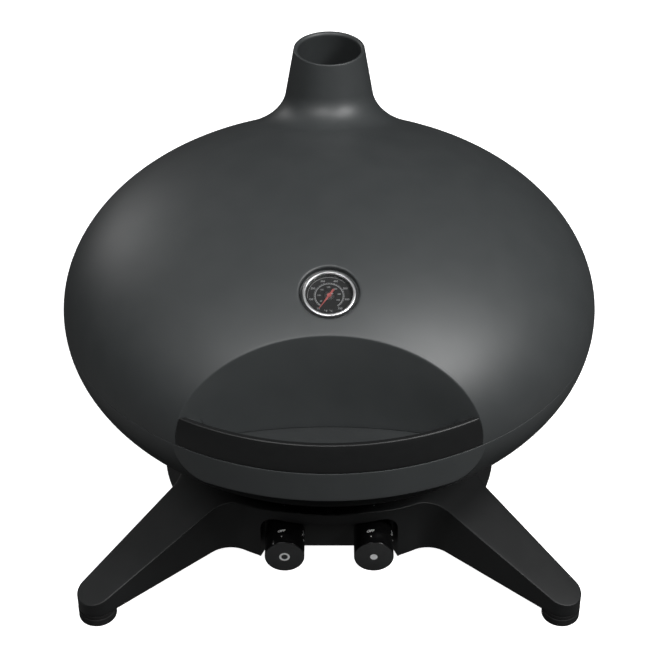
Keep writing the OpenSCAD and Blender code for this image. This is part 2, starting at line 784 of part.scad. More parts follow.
// Leaf of the rear hinge seen from the side, with its knuckle on the axis
module leaf_profile() {
    circle(r = knuckle_d / 2);
    translate([hinge_face - hinge_y, leaf_gap]) square([leaf_t, leaf_h]);
    translate([hinge_face - hinge_y, leaf_gap]) square([knuckle_d / 2, 3]);
}

module hinge_bars(spans) {
    for (s = spans) translate([s[0], hinge_y, 0]) rotate([90, 0, 90]) linear_extrude(s[1] - s[0])
        leaf_profile();
}

module hinge_leaf(spans, fit) difference() {
    union() {
        hinge_bars(spans);
        translate([-hinge_l / 2, hinge_face, knuckle_d / 2 + leaf_gap])
            cube([hinge_l, leaf_t, leaf_h - knuckle_d / 2]);
    }
    translate([-hinge_l, hinge_y, 0]) rotate([0, 90, 0]) cylinder(r = pin_d / 2 + fit, h = 2 * hinge_l);
    for (s = [-1, 1]) bar_y(s * hinge_screw_x, hinge_screw_z, small_screw_r + screw_fit, hinge_face - 1, a + 9);
}

module lid_hinge_leaf() color([0.16, 0.165, 0.17]) at_seam()
    hinge_leaf([[-knuckle_l / 2 + knuckle_gap, knuckle_l / 2 - knuckle_gap]], run_fit);

module bowl_hinge_leaf() color([0.16, 0.165, 0.17]) upside_down()
    hinge_leaf([[-hinge_l / 2, -knuckle_l / 2], [knuckle_l / 2, hinge_l / 2]], eps);

module hinge_pin() color("silver") translate([-hinge_l / 2 - 3, hinge_y, seam_z]) rotate([0, 90, 0]) {
    cylinder(r = pin_d / 2 + 1.5, h = 3);
    cylinder(r = pin_d / 2, h = hinge_l + 5);
}

module leaf_screws() {
    for (s = [-1, 1]) translate([s * hinge_screw_x, hinge_face + leaf_t, hinge_screw_z]) rotate([90, 0, 0])
        cap_screw(small_screw_r, leaf_t + hinge_pad - 3);
}

module lid_hinge_screws() color("silver") at_seam() leaf_screws();

module bowl_hinge_screws() color("silver") upside_down() leaf_screws();

// Lid

// Radius of the neck at height z over the seam
function neck_r(z) = chimney_r + (chimney_h - z) * taper_k;

// Distance of a point from the body axis, at radius r and angle t about the chimney axis
function off_axis(r, t) = norm([r * cos(t), chimney_y + r * sin(t)]);

// Point of the rounded foot, e1 out from the neck and e2 above the dome, found by repeated steps
function foot_step(t, e1, e2, z = c, n = 8) = n == 0 ? [neck_r(z) + e1, z]
    : foot_step(t, e1, e2, dome_z(off_axis(neck_r(z) + e1, t)) + e2, n - 1);

function foot_point(t, b) = foot_step(t, chimney_blend * (1 - cos(b)), chimney_blend * (1 - sin(b)));

function foot_end(t) = foot_step(t, chimney_blend * (1 - cos(foot_turn)) + foot_run, foot_edge);

// Outline of neck and blend at angle t, from the mouth down to a level inside the dome
function flare_ring(t) = concat(
    [[chimney_r - chimney_lip_r, chimney_h], [chimney_r - 0.3 * chimney_lip_r, chimney_h - 0.3 * chimney_lip_r],
    [neck_r(chimney_h - chimney_lip_r), chimney_h - chimney_lip_r]],
    [for (i = [0 : flare_steps]) foot_point(t, foot_turn * i / flare_steps)],
    [foot_end(t), [foot_end(t)[0], flare_low]]);

// Neck and its blend into the off-centre slope of the dome, lofted ring by ring
module chimney_flare() {
    m = flare_steps + 6;
    rings = [for (j = [0 : flare_sides - 1]) let (t = 360 * j / flare_sides) [for (p = flare_ring(t))
        [p[0] * cos(t), chimney_y + p[0] * sin(t), p[1]]]];
    points = [for (r = rings) for (p = r) p];
    sides = [for (j = [0 : flare_sides - 1]) for (i = [0 : m - 2])
        let (p = j * m + i, q = ((j + 1) % flare_sides) * m + i) each [[p, q, q + 1], [p, q + 1, p + 1]]];
    caps = [[for (j = [flare_sides - 1 : -1 : 0]) j * m], [for (j = [0 : flare_sides - 1]) j * m + m - 1]];
    polyhedron(points, concat(sides, caps), convexity = 6);
}

module flue() {
    low = 0.45 * c;
    translate([0, chimney_y, low]) cylinder(r1 = neck_r(low) - chimney_wall, r2 = chimney_r - chimney_wall,
        h = chimney_h - low + eps);
    translate([0, chimney_y, chimney_h]) cylinder(r = chimney_r - chimney_wall, h = 5);
}

// Places of the two handle screws, on the solid ends of the handle
handle_screw_x = handle_span + 14;
handle_screw_z = handle_gap + handle_h / 2;
handle_seat_y = recess_hub - sqrt(pow(recess_r, 2) - pow(handle_screw_x, 2)) - wall_t - 5;
// Depth from a screw's seat to the handle's face, at the thin side of the hole
handle_hole_r = screw_r + screw_fit;
handle_face_r = dome_r(seam_gap / 2 + handle_screw_z + handle_hole_r);
handle_reach = sqrt(pow(handle_face_r, 2) - pow(handle_screw_x + handle_hole_r, 2)) - handle_seat_y;
handle_skin = 1.5;

module at_handle_screws() {
    for (s = [-1, 1]) translate([s * handle_screw_x, -handle_seat_y, lid_z + handle_screw_z])
        rotate([90, 0, 0]) children();
}

module lid_shell() color([0.235, 0.255, 0.26]) difference() {
    union() {
        difference() {
            at_seam() union() {
                dome(0, seam_gap / 2);
                chimney_flare();
            }
            recess_tool(0);
            difference() {
                at_seam() dome(wall_t, -seam_gap);
                recess_tool(wall_t);
            }
        }
        at_gauge() translate([0, 0, -gauge_boss]) cylinder(r = gauge_pocket_d / 2 + 4, h = gauge_boss + 2.5);
        difference() {
            at_handle_screws() cylinder(r = 8, h = 8);
            recess_tool(wall_t - 1);
        }
        at_seam() hinge_seat();
    }
    at_seam() flue();
    at_gauge() cylinder(r = gauge_pocket_d / 2, h = 40);
    at_gauge() translate([0, 0, -20]) cylinder(r = gauge_stem_r + screw_fit, h = 30);
    at_handle_screws() translate([0, 0, -1]) cylinder(r = handle_hole_r, h = 30);
    at_seam() hinge_flat();
}

// Section of the handle strip: follows the dome outside, with a round top edge
module handle_section() {
    r = handle_t / 2;
    z0 = seam_gap / 2 + handle_gap;
    z1 = z0 + handle_h - r;
    outer = [for (i = [0 : 8]) let (z = z0 + (z1 - z0) * i / 8) [dome_r(z), z]];
    inner = [for (i = [8 : -1 : 0]) let (z = z0 + (z1 - z0) * i / 8) [dome_r(z) - handle_t, z]];
    top = [for (i = [1 : 7]) let (t = 180 * i / 8) [dome_r(z1) - r + r * cos(t), z1 + r * sin(t)]];
    polygon(concat(outer, top, inner));
}

// Solid ends that the screws hold
module handle_end() intersection() {
    z0 = seam_gap / 2 + handle_gap;
    dome(0, z0);
    translate([handle_span, -body_d, z0]) cube([body_d, body_d, handle_h - handle_t / 2]);
}

module handle() color([0.06, 0.065, 0.067]) difference() {
    intersection() {
        at_seam() union() {
            rotate_extrude($fn = 192) handle_section();
            both_sides() handle_end();
        }
        recess_tool(-handle_fit);
    }
    at_handle_screws() cylinder(r = handle_hole_r, h = handle_reach - handle_skin);
}

module handle_screws() color("silver") at_handle_screws()
    cap_screw(screw_r, handle_reach - handle_skin - 1);

// Thermometer, built up from its seat in the pocket

module gauge_case() color([0.2, 0.2, 0.2]) at_gauge() rotate_extrude() polygon([[needle_shaft_r + run_fit, 0],
    [gauge_case_r, 0], [gauge_case_r, gauge_case_h], [gauge_dial_r + 0.05, gauge_case_h],
    [gauge_dial_r + 0.05, 1.5], [needle_shaft_r + run_fit, 1.5]]);

module gauge_dial() color([0.04, 0.04, 0.045]) at_gauge() translate([0, 0, 1.5]) difference() {
    cylinder(r = gauge_dial_r, h = dial_t);
    translate([0, 0, -1]) cylinder(r = needle_shaft_r + run_fit, h = 3);
}

module gauge_glass() color([0.8, 0.85, 0.85, 0.3]) at_gauge() translate([0, 0, gauge_case_h])
    cylinder(r = gauge_dial_r + 0.5, h = 1.2);

// Rolled chrome ring that holds the glass
module gauge_bezel() color("gainsboro") at_gauge() {
    r = gauge_d / 2;
    g = gauge_dial_r + 0.55;
    top = [for (i = [0 : 8]) let (t = 180 * i / 8)
        [(r + g - 1.3) / 2 + (r - g + 1.3) / 2 * cos(t), gauge_h - 1 + sin(t)]];
    rotate_extrude() polygon(concat([[gauge_case_r + 0.02, 0.6], [r, 0.6]], top,
        [[g - 1.3, gauge_case_h + 1.2], [g, gauge_case_h + 1.2], [g, gauge_case_h],
        [gauge_case_r + 0.02, gauge_case_h]]));
}

// Pointer with a long thin tip, a short broad tail and its shaft
module gauge_needle() color("firebrick") at_gauge() {
    z = 1.5 + dial_t + 0.8;
    translate([0, 0, 0.3]) cylinder(r = needle_shaft_r, h = z);
    translate([0, 0, z]) cylinder(r = 2, h = 0.8);
    translate([0, 0, z]) rotate([0, 0, 237]) linear_extrude(0.5)
        polygon([[-needle_l * 0.45, -1], [-needle_l * 0.45, 1], [0, 1], [needle_l, 0.2], [needle_l, -0.2], [0, -1]]);
}

module gauge_probe() color("silver") at_gauge() {
    translate([0, 0, -gauge_probe_l]) cylinder(r = 3, h = gauge_probe_l - 0.2);
    translate([0, 0, -gauge_boss - 2 * gauge_nut_h]) cylinder(r = gauge_stem_r, h = gauge_boss + 2 * gauge_nut_h);
}

module gauge_nut() color("silver") at_gauge() translate([0, 0, -gauge_boss - gauge_nut_h]) difference() {
    cylinder(r = 2 * gauge_stem_r, h = gauge_nut_h, $fn = 6);
    translate([0, 0, -1]) cylinder(r = gauge_stem_r + screw_fit, h = gauge_nut_h + 2);
}

base_frame();
foot_pads();
foot_screws();
bowl();
bowl_screws();
valve_panel();
panel_screws();
left_valve_body();
right_valve_body();
manifold_pipe();
gas_inlet();
left_venturi();
right_venturi();
outer_burner();
inner_burner();
outer_electrode();
inner_electrode();
spark_generator();
flame_tamer();
left_grate();
right_grate();
bowl_hinge_leaf();
hinge_pin();
bowl_hinge_screws();
tray_rails();
lid_bumpers();
lid_shell();
handle();
handle_screws();
lid_hinge_leaf();
lid_hinge_screws();
gauge_case();
gauge_bezel();
gauge_dial();
gauge_glass();
gauge_probe();
gauge_nut();
gauge_needle();
left_valve_plug();
left_stem();
left_knob();
right_valve_plug();
right_stem();
right_knob();
grease_tray();
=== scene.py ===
import math
import bmesh
import bpy
import numpy as np
from mathutils import Matrix, Vector


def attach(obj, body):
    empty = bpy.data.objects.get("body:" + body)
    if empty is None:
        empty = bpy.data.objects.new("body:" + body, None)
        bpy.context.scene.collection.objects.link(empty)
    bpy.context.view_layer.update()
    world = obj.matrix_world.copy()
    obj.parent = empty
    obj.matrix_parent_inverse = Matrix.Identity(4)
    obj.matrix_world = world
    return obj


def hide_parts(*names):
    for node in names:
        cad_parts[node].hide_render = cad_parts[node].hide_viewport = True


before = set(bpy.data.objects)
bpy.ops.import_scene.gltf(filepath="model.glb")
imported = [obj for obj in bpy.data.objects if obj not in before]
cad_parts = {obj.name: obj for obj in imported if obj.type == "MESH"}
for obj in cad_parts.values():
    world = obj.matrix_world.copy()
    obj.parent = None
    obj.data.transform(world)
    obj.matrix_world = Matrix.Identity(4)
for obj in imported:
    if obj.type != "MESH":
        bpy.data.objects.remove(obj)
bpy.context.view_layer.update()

scene = bpy.context.scene
mm = 0.001
seamZ = 220.0  # parting line between lid and bowl, above the table
quarter = math.pi / 2


# a part is a pair: points in millimetres, and faces

def gridFaces(rows, cols, wrapRows=False, wrapCols=True):
    i = np.arange(rows if wrapRows else rows - 1)[:, None]
    j = np.arange(cols if wrapCols else cols - 1)[None, :]
    i2, j2 = (i + 1) % rows, (j + 1) % cols
    return np.stack([i * cols + j, i2 * cols + j, i2 * cols + j2, i * cols + j2], -1).reshape(-1, 4)


def gridPart(rows, wrapRows=False, wrapCols=True):
    rows = np.asarray(rows, float)
    return rows.reshape(-1, 3), gridFaces(*rows.shape[:2], wrapRows, wrapCols).tolist()


def row(x, y, z):
    return np.stack(np.broadcast_arrays(x, y, z), -1)


def between(a, b, shares):
    return [a + (b - a) * t for t in shares]


def fullTurn(count):
    return np.linspace(0, 2 * math.pi, count, endpoint=False)


def lathe(profile, segments=96, closed=False):
    # profile is (radius, height) pairs turned round the z axis
    profile, turn = np.asarray(profile, float), fullTurn(segments)
    r = profile[:, :1]
    return gridPart(row(r * np.cos(turn), r * np.sin(turn), profile[:, 1:]), closed)


def cornerArc(points, radii, steps):
    # round the corners of an open (radius, height) outline
    points = np.array(points, float)
    out = [points[0]]
    for before, p, after, r in zip(points, points[1:], points[2:], radii):
        room = 0.49 * min(math.dist(before, p), math.dist(after, p))
        d1, d2 = unit(before - p), unit(after - p)
        c = d1 @ d2
        r = min(r, room * math.sqrt((1 - c) / (1 + c)))
        out += list(cornerRound(p, unit(c * d1 - d2), unit(c * d2 - d1), r, steps)) if r else [p]
    return [*out, points[-1]]


def joinParts(*parts):
    verts, faces, start = [], [], 0
    for v, f in parts:
        verts.append(np.asarray(v, float))
        faces += [[i + start for i in face] for face in f]
        start += len(v)
    return np.concatenate(verts), faces


def placed(part, matrix):
    m = np.array(matrix)
    return np.asarray(part[0], float) @ m[:3, :3].T + m[:3, 3], part[1]


def around(degrees, x=0.0, z=0.0):
    # place at x and z, then turned about the upright axis
    return Matrix.Rotation(math.radians(degrees), 4, "Z") @ Matrix.Translation((x, 0, z))


def softBox(low, high, edge, steps=2):
    bm = bmesh.new()
    bmesh.ops.create_cube(bm, size=1)
    low, high = np.array(low, float), np.array(high, float)
    for v in bm.verts:
        v.co = Vector((low + high) / 2 + np.array(v.co) * (high - low))
    bmesh.ops.bevel(bm, geom=list(bm.edges), offset=edge, segments=steps, profile=0.5, affect="EDGES")
    bm.verts.index_update()
    part = [list(v.co) for v in bm.verts], [[v.index for v in f.verts] for f in bm.faces]
    bm.free()
    return part


def makePiece(name, part, finish, body, slot="", hides=(), sharp=32, lift=0.0, mend=True):
    mesh = bpy.data.meshes.new(name)
    verts = np.asarray(part[0], float) + [0, 0, lift]
    mesh.from_pydata((verts * mm).tolist(), [], part[1])
    bm = bmesh.new()
    bm.from_mesh(mesh)
    if mend:  # flat print stays as it is
        bmesh.ops.remove_doubles(bm, verts=bm.verts, dist=2e-6)
        bmesh.ops.recalc_face_normals(bm, faces=bm.faces)
    bm.to_mesh(mesh)
    bm.free()
    mesh.shade_smooth()
    mesh.set_sharp_from_angle(angle=math.radians(sharp))
    mesh.materials.append(finishes[finish])
    piece = bpy.data.objects.new(name, mesh)
    scene.collection.objects.link(piece)
    slot = slot or finish  # most slots are named for the finish
    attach(piece, body)
    if hides:
        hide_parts(*hides)
    return piece


def unit(v):
    return v / np.linalg.norm(v, axis=-1, keepdims=True)


def edgeRound(p, n1, n2, r, steps=6):
    # ball of radius r rolled along the edge p between faces with outward normals n1 and n2
    r = np.broadcast_to(r, p.shape[:1])
    dot = (n1 * n2).sum(-1)
    hub = p - (r / (1 + dot))[:, None] * (n1 + n2)
    angle = np.maximum(np.arccos(np.clip(dot, -1, 1)), 1e-5)
    t = np.linspace(0, 1, steps + 1)[:, None]
    fan = unit((np.sin((1 - t) * angle) / np.sin(angle))[..., None] * n1
               + (np.sin(t * angle) / np.sin(angle))[..., None] * n2)
    return hub[None] + r[None, :, None] * fan


def cornerRound(point, n1, n2, r, steps):
    # the same for one corner of a (radius, height) outline
    return edgeRound(*(np.array([v], float) for v in (point, n1, n2)), r, steps)[:, 0]


def alongLength(points, count, weight=1.0):
    # even steps along a line, by its weighted length
    length = np.r_[0, np.cumsum(np.linalg.norm(np.diff(points, axis=0), axis=1) * weight)]
    at = np.linspace(0, length[-1], count)
    return np.stack([np.interp(at, length, value) for value in points.T], -1)


def halve(low, high, holds):
    # the largest value that holds, by halving
    for _ in range(60):
        mid = (low + high) / 2
        inside = holds(mid)
        low, high = np.where(inside, mid, low), np.where(inside, high, mid)
    return low


def smooth(t):
    return t * t * (3 - 2 * t)


def fillNode(tree, node, fields):
    # set a node's inputs to values, or link them to other nodes' outputs
    for field, value in fields.items():
        if isinstance(value, bpy.types.NodeSocket):
            tree.links.new(value, node.inputs[field])
        else:
            node.inputs[field].default_value = value
    return node


def addNode(tree, kind, fields):
    return fillNode(tree, tree.nodes.new("ShaderNode" + kind), fields)


def makeFinish(name, dark, light, rough, metal, mottle, grain, bump,
               stretch=(1, 1, 1), specular=0.5, alpha=1.0, depth=0.0002):
    # clouds in the tone, and a fine grain in roughness and relief
    finish = bpy.data.materials.new(name)
    finish.use_nodes = True
    tree = finish.node_tree
    where = addNode(tree, "TexCoord", {})
    lay = addNode(tree, "Mapping", {"Vector": where.outputs["Object"], "Scale": stretch}).outputs["Vector"]
    cloud = addNode(tree, "TexNoise", {"Vector": lay, "Scale": mottle, "Detail": 4}).outputs["Fac"]
    speck = addNode(tree, "TexNoise", {"Vector": lay, "Scale": grain, "Detail": 3}).outputs["Fac"]
    tone = addNode(tree, "ValToRGB", {"Fac": cloud})
    for spot, at, colour in zip(tone.color_ramp.elements, (0.32, 0.68), (dark, light)):
        spot.position, spot.color = at, (*colour, 1)
    dull = addNode(tree, "MapRange", {"Value": speck, "From Min": 0.3, "From Max": 0.7,
                                      "To Min": rough[0], "To Max": rough[1]})
    fields = {"Base Color": tone.outputs["Color"], "Roughness": dull.outputs["Result"], "Metallic": metal,
              "Specular IOR Level": specular, "Alpha": alpha}
    if bump:
        relief = addNode(tree, "Bump", {"Height": speck, "Strength": bump, "Distance": depth})
        fields["Normal"] = relief.outputs["Normal"]
    fillNode(tree, tree.nodes["Principled BSDF"], fields)
    return finish


# name, dark and light tone, roughness, metal, scale of the clouds and the grain, bump, and what else differs
finishTable = {
    "body_coat": ("graphite_coat", (0.034, 0.0375, 0.0385), (0.038, 0.0415, 0.0425), (0.45, 0.53),
                  0, 35, 1100, 0.13, {"specular": 0.6}),
    # the ledge gets the body's coat made darker: painted shade for the hollow under the lid's recess
    "ledge_shade_coat": ("sooted_coat", (0.018, 0.0198, 0.0203), (0.021, 0.0229, 0.0235), (0.5, 0.58),
                   0, 35, 1100, 0.13, {"specular": 0.45}),
    "base_coat": ("black_base_coat", (0.0072, 0.0077, 0.008), (0.009, 0.0096, 0.0099), (0.46, 0.54),
                  0, 50, 1300, 0.08, {"specular": 0.37}),
    "panel_coat": ("panel_coat", (0.010, 0.0108, 0.011), (0.013, 0.0138, 0.014), (0.42, 0.5),
                   0, 70, 1500, 0.06, {"specular": 0.4}),
    "hinge_coat": ("hinge_coat", (0.018, 0.019, 0.0195), (0.024, 0.025, 0.0255), (0.4, 0.5),
                   0, 90, 1600, 0.08, {}),
    "handle_plastic": ("handle_plastic", (0.006, 0.0064, 0.0066), (0.0072, 0.0076, 0.0078), (0.4, 0.47),
                       0, 120, 2200, 0.1, {"specular": 0.4, "depth": 0.0001}),
    "knob_plastic": ("knob_plastic", (0.0035, 0.0035, 0.0037), (0.0045, 0.0046, 0.0048), (0.16, 0.22),
                     0, 120, 2400, 0.02, {"depth": 0.0001}),
    "knob_satin": ("knob_satin", (0.025, 0.0257, 0.0263), (0.03, 0.0308, 0.0314), (0.42, 0.5),
                   0, 150, 2600, 0.08, {"depth": 0.0001}),
    "box_plastic": ("box_plastic", (0.012, 0.012, 0.012), (0.017, 0.017, 0.017), (0.45, 0.55),
                    0, 150, 2500, 0.15, {}),
    "foot_rubber": ("foot_rubber", (0.008, 0.008, 0.008), (0.014, 0.014, 0.0143), (0.7, 0.85),
                    0, 160, 1800, 0.2, {"specular": 0.25}),
    "silicone": ("stud_silicone", (0.012, 0.012, 0.012), (0.02, 0.02, 0.02), (0.55, 0.68),
                 0, 300, 2500, 0.1, {}),
    "steel": ("turned_steel", (0.5, 0.5, 0.5), (0.6, 0.6, 0.595), (0.2, 0.36),
              1, 220, 1200, 0.08, {"stretch": (1, 1, 5)}),
    "burner_steel": ("burner_steel", (0.22, 0.2, 0.185), (0.38, 0.365, 0.35), (0.3, 0.48),
                     1, 40, 900, 0.1, {}),
    "gauge_steel": ("gauge_steel", (0.4, 0.4, 0.4), (0.5, 0.5, 0.5), (0.22, 0.34), 1, 260, 1800, 0.05, {}),
    "gauge_chrome": ("bezel_chrome", (0.82, 0.825, 0.83), (0.89, 0.893, 0.896), (0.34, 0.4),
                     1, 180, 1500, 0.01, {}),
    "dial_face": ("dial_enamel", (0.007, 0.0072, 0.0075), (0.010, 0.0103, 0.0107), (0.45, 0.55),
                  0, 260, 2600, 0.04, {}),
    "needle_red": ("needle_lacquer", (0.32, 0.08, 0.076), (0.38, 0.11, 0.105), (0.35, 0.45),
                   0, 300, 2500, 0.03, {}),
    "gauge_glass": ("gauge_glass", (0.012, 0.013, 0.013), (0.016, 0.017, 0.017), (0.03, 0.06),
                    0, 90, 900, 0, {"alpha": 0.08, "specular": 0.4}),
    "brass": ("tap_brass", (0.47, 0.32, 0.12), (0.6, 0.43, 0.19), (0.24, 0.38), 1, 120, 1600, 0.05, {}),
    "ceramic": ("spark_ceramic", (0.62, 0.59, 0.53), (0.72, 0.7, 0.65), (0.2, 0.32), 0, 150, 2000, 0.03, {}),
    "grate_iron": ("grate_enamel", (0.011, 0.0112, 0.0115), (0.021, 0.021, 0.0212), (0.38, 0.58),
                   0, 60, 700, 0.3, {"depth": 0.0003}),
    "tray_aluminium": ("tray_aluminium", (0.56, 0.57, 0.58), (0.7, 0.705, 0.71), (0.25, 0.4),
                       1, 60, 700, 0.06, {"stretch": (1, 6, 1)}),
    "pale_print": ("pale_print", (0.84, 0.85, 0.85), (0.9, 0.91, 0.91), (0.5, 0.6), 0, 500, 2500, 0.03, {}),
    "grey_print": ("grey_print", (0.26, 0.265, 0.27), (0.34, 0.345, 0.35), (0.5, 0.6), 0, 500, 2500, 0.03, {}),
}
finishes = {key: makeFinish(*plain, **more) for key, (*plain, more) in finishTable.items()}

finishNodes = {
    "body_coat": "bowl lid_shell", "base_coat": "base_frame", "panel_coat": "valve_panel",
    "hinge_coat": "bowl_hinge_leaf lid_hinge_leaf", "handle_plastic": "handle",
    "knob_plastic": "left_knob right_knob", "box_plastic": "spark_generator", "foot_rubber": "foot_pads",
    "silicone": "lid_bumpers",
    "steel": "hinge_pin foot_screws bowl_screws panel_screws handle_screws lid_hinge_screws bowl_hinge_screws"
             " tray_rails manifold_pipe left_stem right_stem gauge_nut",
    "burner_steel": "left_venturi right_venturi outer_burner inner_burner flame_tamer",
    "gauge_steel": "gauge_probe gauge_case", "gauge_chrome": "gauge_bezel", "dial_face": "gauge_dial",
    "needle_red": "gauge_needle", "gauge_glass": "gauge_glass",
    "brass": "left_valve_body right_valve_body left_valve_plug right_valve_plug gas_inlet",
    "ceramic": "outer_electrode inner_electrode", "grate_iron": "left_grate right_grate",
    "tray_aluminium": "grease_tray",
}
for finish, nodes in finishNodes.items():
    for node in nodes.split():
        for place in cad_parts[node].material_slots:
            place.material = finishes[finish]
print("finishes made:", len(finishes))


# the lid, with heights counted from the seam

shell = {"a": 265.9, "c": 146.4, "wall": 4.5, "low": 0.2, "seamEdge": 0.3}
chimney = {"y": 165.0, "r": 36.25, "top": 192.0, "taper": 9.8, "blend": 28.0, "wall": 4.5, "lip": 1.1,
           "lipIn": 3.2, "flueBlend": 8.0}
recess = {"hub": 612.0, "r": 409.0, "lean": 4.4, "edge": 2.4, "foot": 0.3}
gauge = {"y": -155.3, "z": 118.94, "tilt": 21.607, "pocketR": 27.2, "pocket": 7.5, "edge": 2.0, "upslope": 1.6,
         "skirt": 0.012, "skirtOut": 8.0, "foot": 0.8, "bore": 20.0, "sunk": 2.5}
hinge = {"flat": 262.0, "tall": 30.0, "half": 45.0, "front": 252.5, "rear": 261.9, "gap": 0.6, "edge": 1.5}
handleScrew = {"x": 122.0, "z": 18.0, "seat": 9.5, "r": 8.0, "bore": 3.0, "long": 5.0}
shellAxes = np.array([shell["a"], shell["a"], shell["c"]])
taperK = math.tan(math.radians(chimney["taper"]))
leanS, leanC = math.sin(math.radians(recess["lean"])), math.cos(math.radians(recess["lean"]))
down = np.array([0.0, 0.0, -1.0])


def domeR(z, inset=0.0):
    return (shell["a"] - inset) * np.sqrt(np.maximum(0, 1 - (z / (shell["c"] - inset)) ** 2))


def domeZ(x, y, inset):
    a, c = shell["a"] - inset, shell["c"] - inset
    return c * np.sqrt(np.maximum(0, 1 - (x * x + y * y) / (a * a)))


def recessY(x, z, grow=0.0):
    return -recess["hub"] + (np.sqrt((recess["r"] + grow) ** 2 - x * x) + z * leanS) / leanC


def recessNormal(p):
    depth = (p[:, 1] + recess["hub"]) * leanC - p[:, 2] * leanS
    return -unit(row(p[:, 0], depth * leanC, -depth * leanS))


def recessHalf(z, inset=0.0, fit=0.0):
    # half width of the recess's mouth in the dome at height z
    return halve(np.zeros_like(z), np.full_like(z, 150.0),
                 lambda x: x ** 2 + (recessY(x, z, inset) - fit) ** 2 < domeR(z, inset) ** 2)


def hingeFlat(points):
    # plumb face at the rear for the hinge leaves
    near = np.abs(points[..., 2]) < hinge["tall"]
    points[..., 1] = np.where(near, np.minimum(points[..., 1], hinge["flat"]), points[..., 1])
    return points


def hingePad(low, high):
    # thicker wall behind a hinge leaf
    return softBox((-hinge["half"], hinge["front"], low), (hinge["half"], hinge["rear"], high), hinge["edge"])


def lidHeight(x, y, inset, neckR, blend):
    # dome, neck, and the rounded corner between them
    dome = domeZ(x, y, inset)
    out = np.hypot(x, y - chimney["y"]) - neckR
    reach = out - chimney["top"] * taperK
    u, v = blend - reach, blend + dome
    b = u * taperK + v
    root = b * b - (1 + taperK ** 2) * (u * u + v * v - blend ** 2)
    corner = (b - np.sqrt(np.maximum(0, root))) / (1 + taperK ** 2)
    cone = chimney["top"] - out / taperK
    return np.where(cone - dome >= blend, cone, np.where(reach + taperK * dome >= blend, dome, corner))


def lidPaths(ends, inset, neckR, blend, startR, count):
    # lines fanning out from the chimney to the given rim points, laid by a circle-keeping map of the plan
    a = shell["a"] - inset
    p1, p2 = (chimney["y"] - startR) / a, (chimney["y"] + startR) / a
    k = (1 + p1 * p2) / (p1 + p2)
    shift = k - math.sqrt(k * k - 1)
    inner = (p2 - shift) / (1 - shift * p2)
    spot = (ends[:, 1] + 1j * ends[:, 0]) / a
    spot = (spot - shift) / (1 - shift * spot)
    half = np.abs(np.angle(spot))[:len(ends) // 2 + 1]
    half[0], half[-1] = math.pi, 0.0
    for j in range(1, len(half) - 1):  # neighbouring lines never cross, not even at the recess corner
        half[j] = min(half[j], half[j - 1] - 3e-4)
    spot = np.abs(spot) * np.exp(1j * np.r_[half, -half[1:-1][::-1]])
    t = smooth(np.linspace(0, 1, 900))[:, None]
    ray = (inner + (np.abs(spot) - inner) * t) * np.exp(1j * np.angle(spot))
    plan = (ray + shift) / (1 + shift * ray) * a
    x, y = plan.imag, plan.real
    z = lidHeight(x, y, inset, neckR, blend)
    z[-1] = ends[:, 2]
    neck = z[1:] - domeZ(x, y, inset)[1:] > 0.3
    weight = np.where(neck, 2.2, 1.0)  # rows lie closer together on the neck
    lines = row(x, y, z)
    return np.stack([alongLength(lines[:, j], count, weight[:, j]) for j in range(len(ends))], 1)


def archHalf(inset, count):
    # edge where the leaning recess cuts the dome, from the front middle to the seam
    top = halve(shell["low"], shell["c"] - inset - 1, lambda z: domeR(z, inset) > -recessY(0.0, z, inset))
    z = shell["low"] + (top - shell["low"]) * np.cos(np.linspace(0, quarter, 600))
    x = recessHalf(z, inset)
    x[0] = 0.0
    flat = np.array([1, 1, 0.15])  # spaces the columns by plan more than by height
    return alongLength(row(x, recessY(x, z, inset), z) * flat, count) / flat


def wholeLoop(half, flip):
    # mirror a half loop, front middle to rear middle, to the left side
    other = half[1:-1][::-1].copy()
    if flip:
        other[:, 0] *= -1
    return np.concatenate([half, other])


archCount, seamCount = 84, 156
onArch = wholeLoop(np.r_[np.ones(archCount), np.zeros(seamCount)], False) > 0.5
arched = onArch[:, None]


def lidLoop(inset):
    arch = archHalf(inset, archCount)
    start = math.atan2(arch[-1, 0], -arch[-1, 1])
    turn = start + (math.pi - start) * (np.arange(1, seamCount + 1) / seamCount)
    rim = domeR(shell["low"], inset)
    seam = row(rim * np.sin(turn), -rim * np.cos(turn), shell["low"])
    seam[-1, 0] = 0.0
    return wholeLoop(np.concatenate([arch, seam]), True)


def recessFoot(edge, grow):
    # the edge dropped down the recess wall to the seam
    foot = edge.copy()
    foot[onArch, 1] = recessY(edge[onArch, 0], shell["low"], grow)
    foot[:, 2] = shell["low"]
    return foot


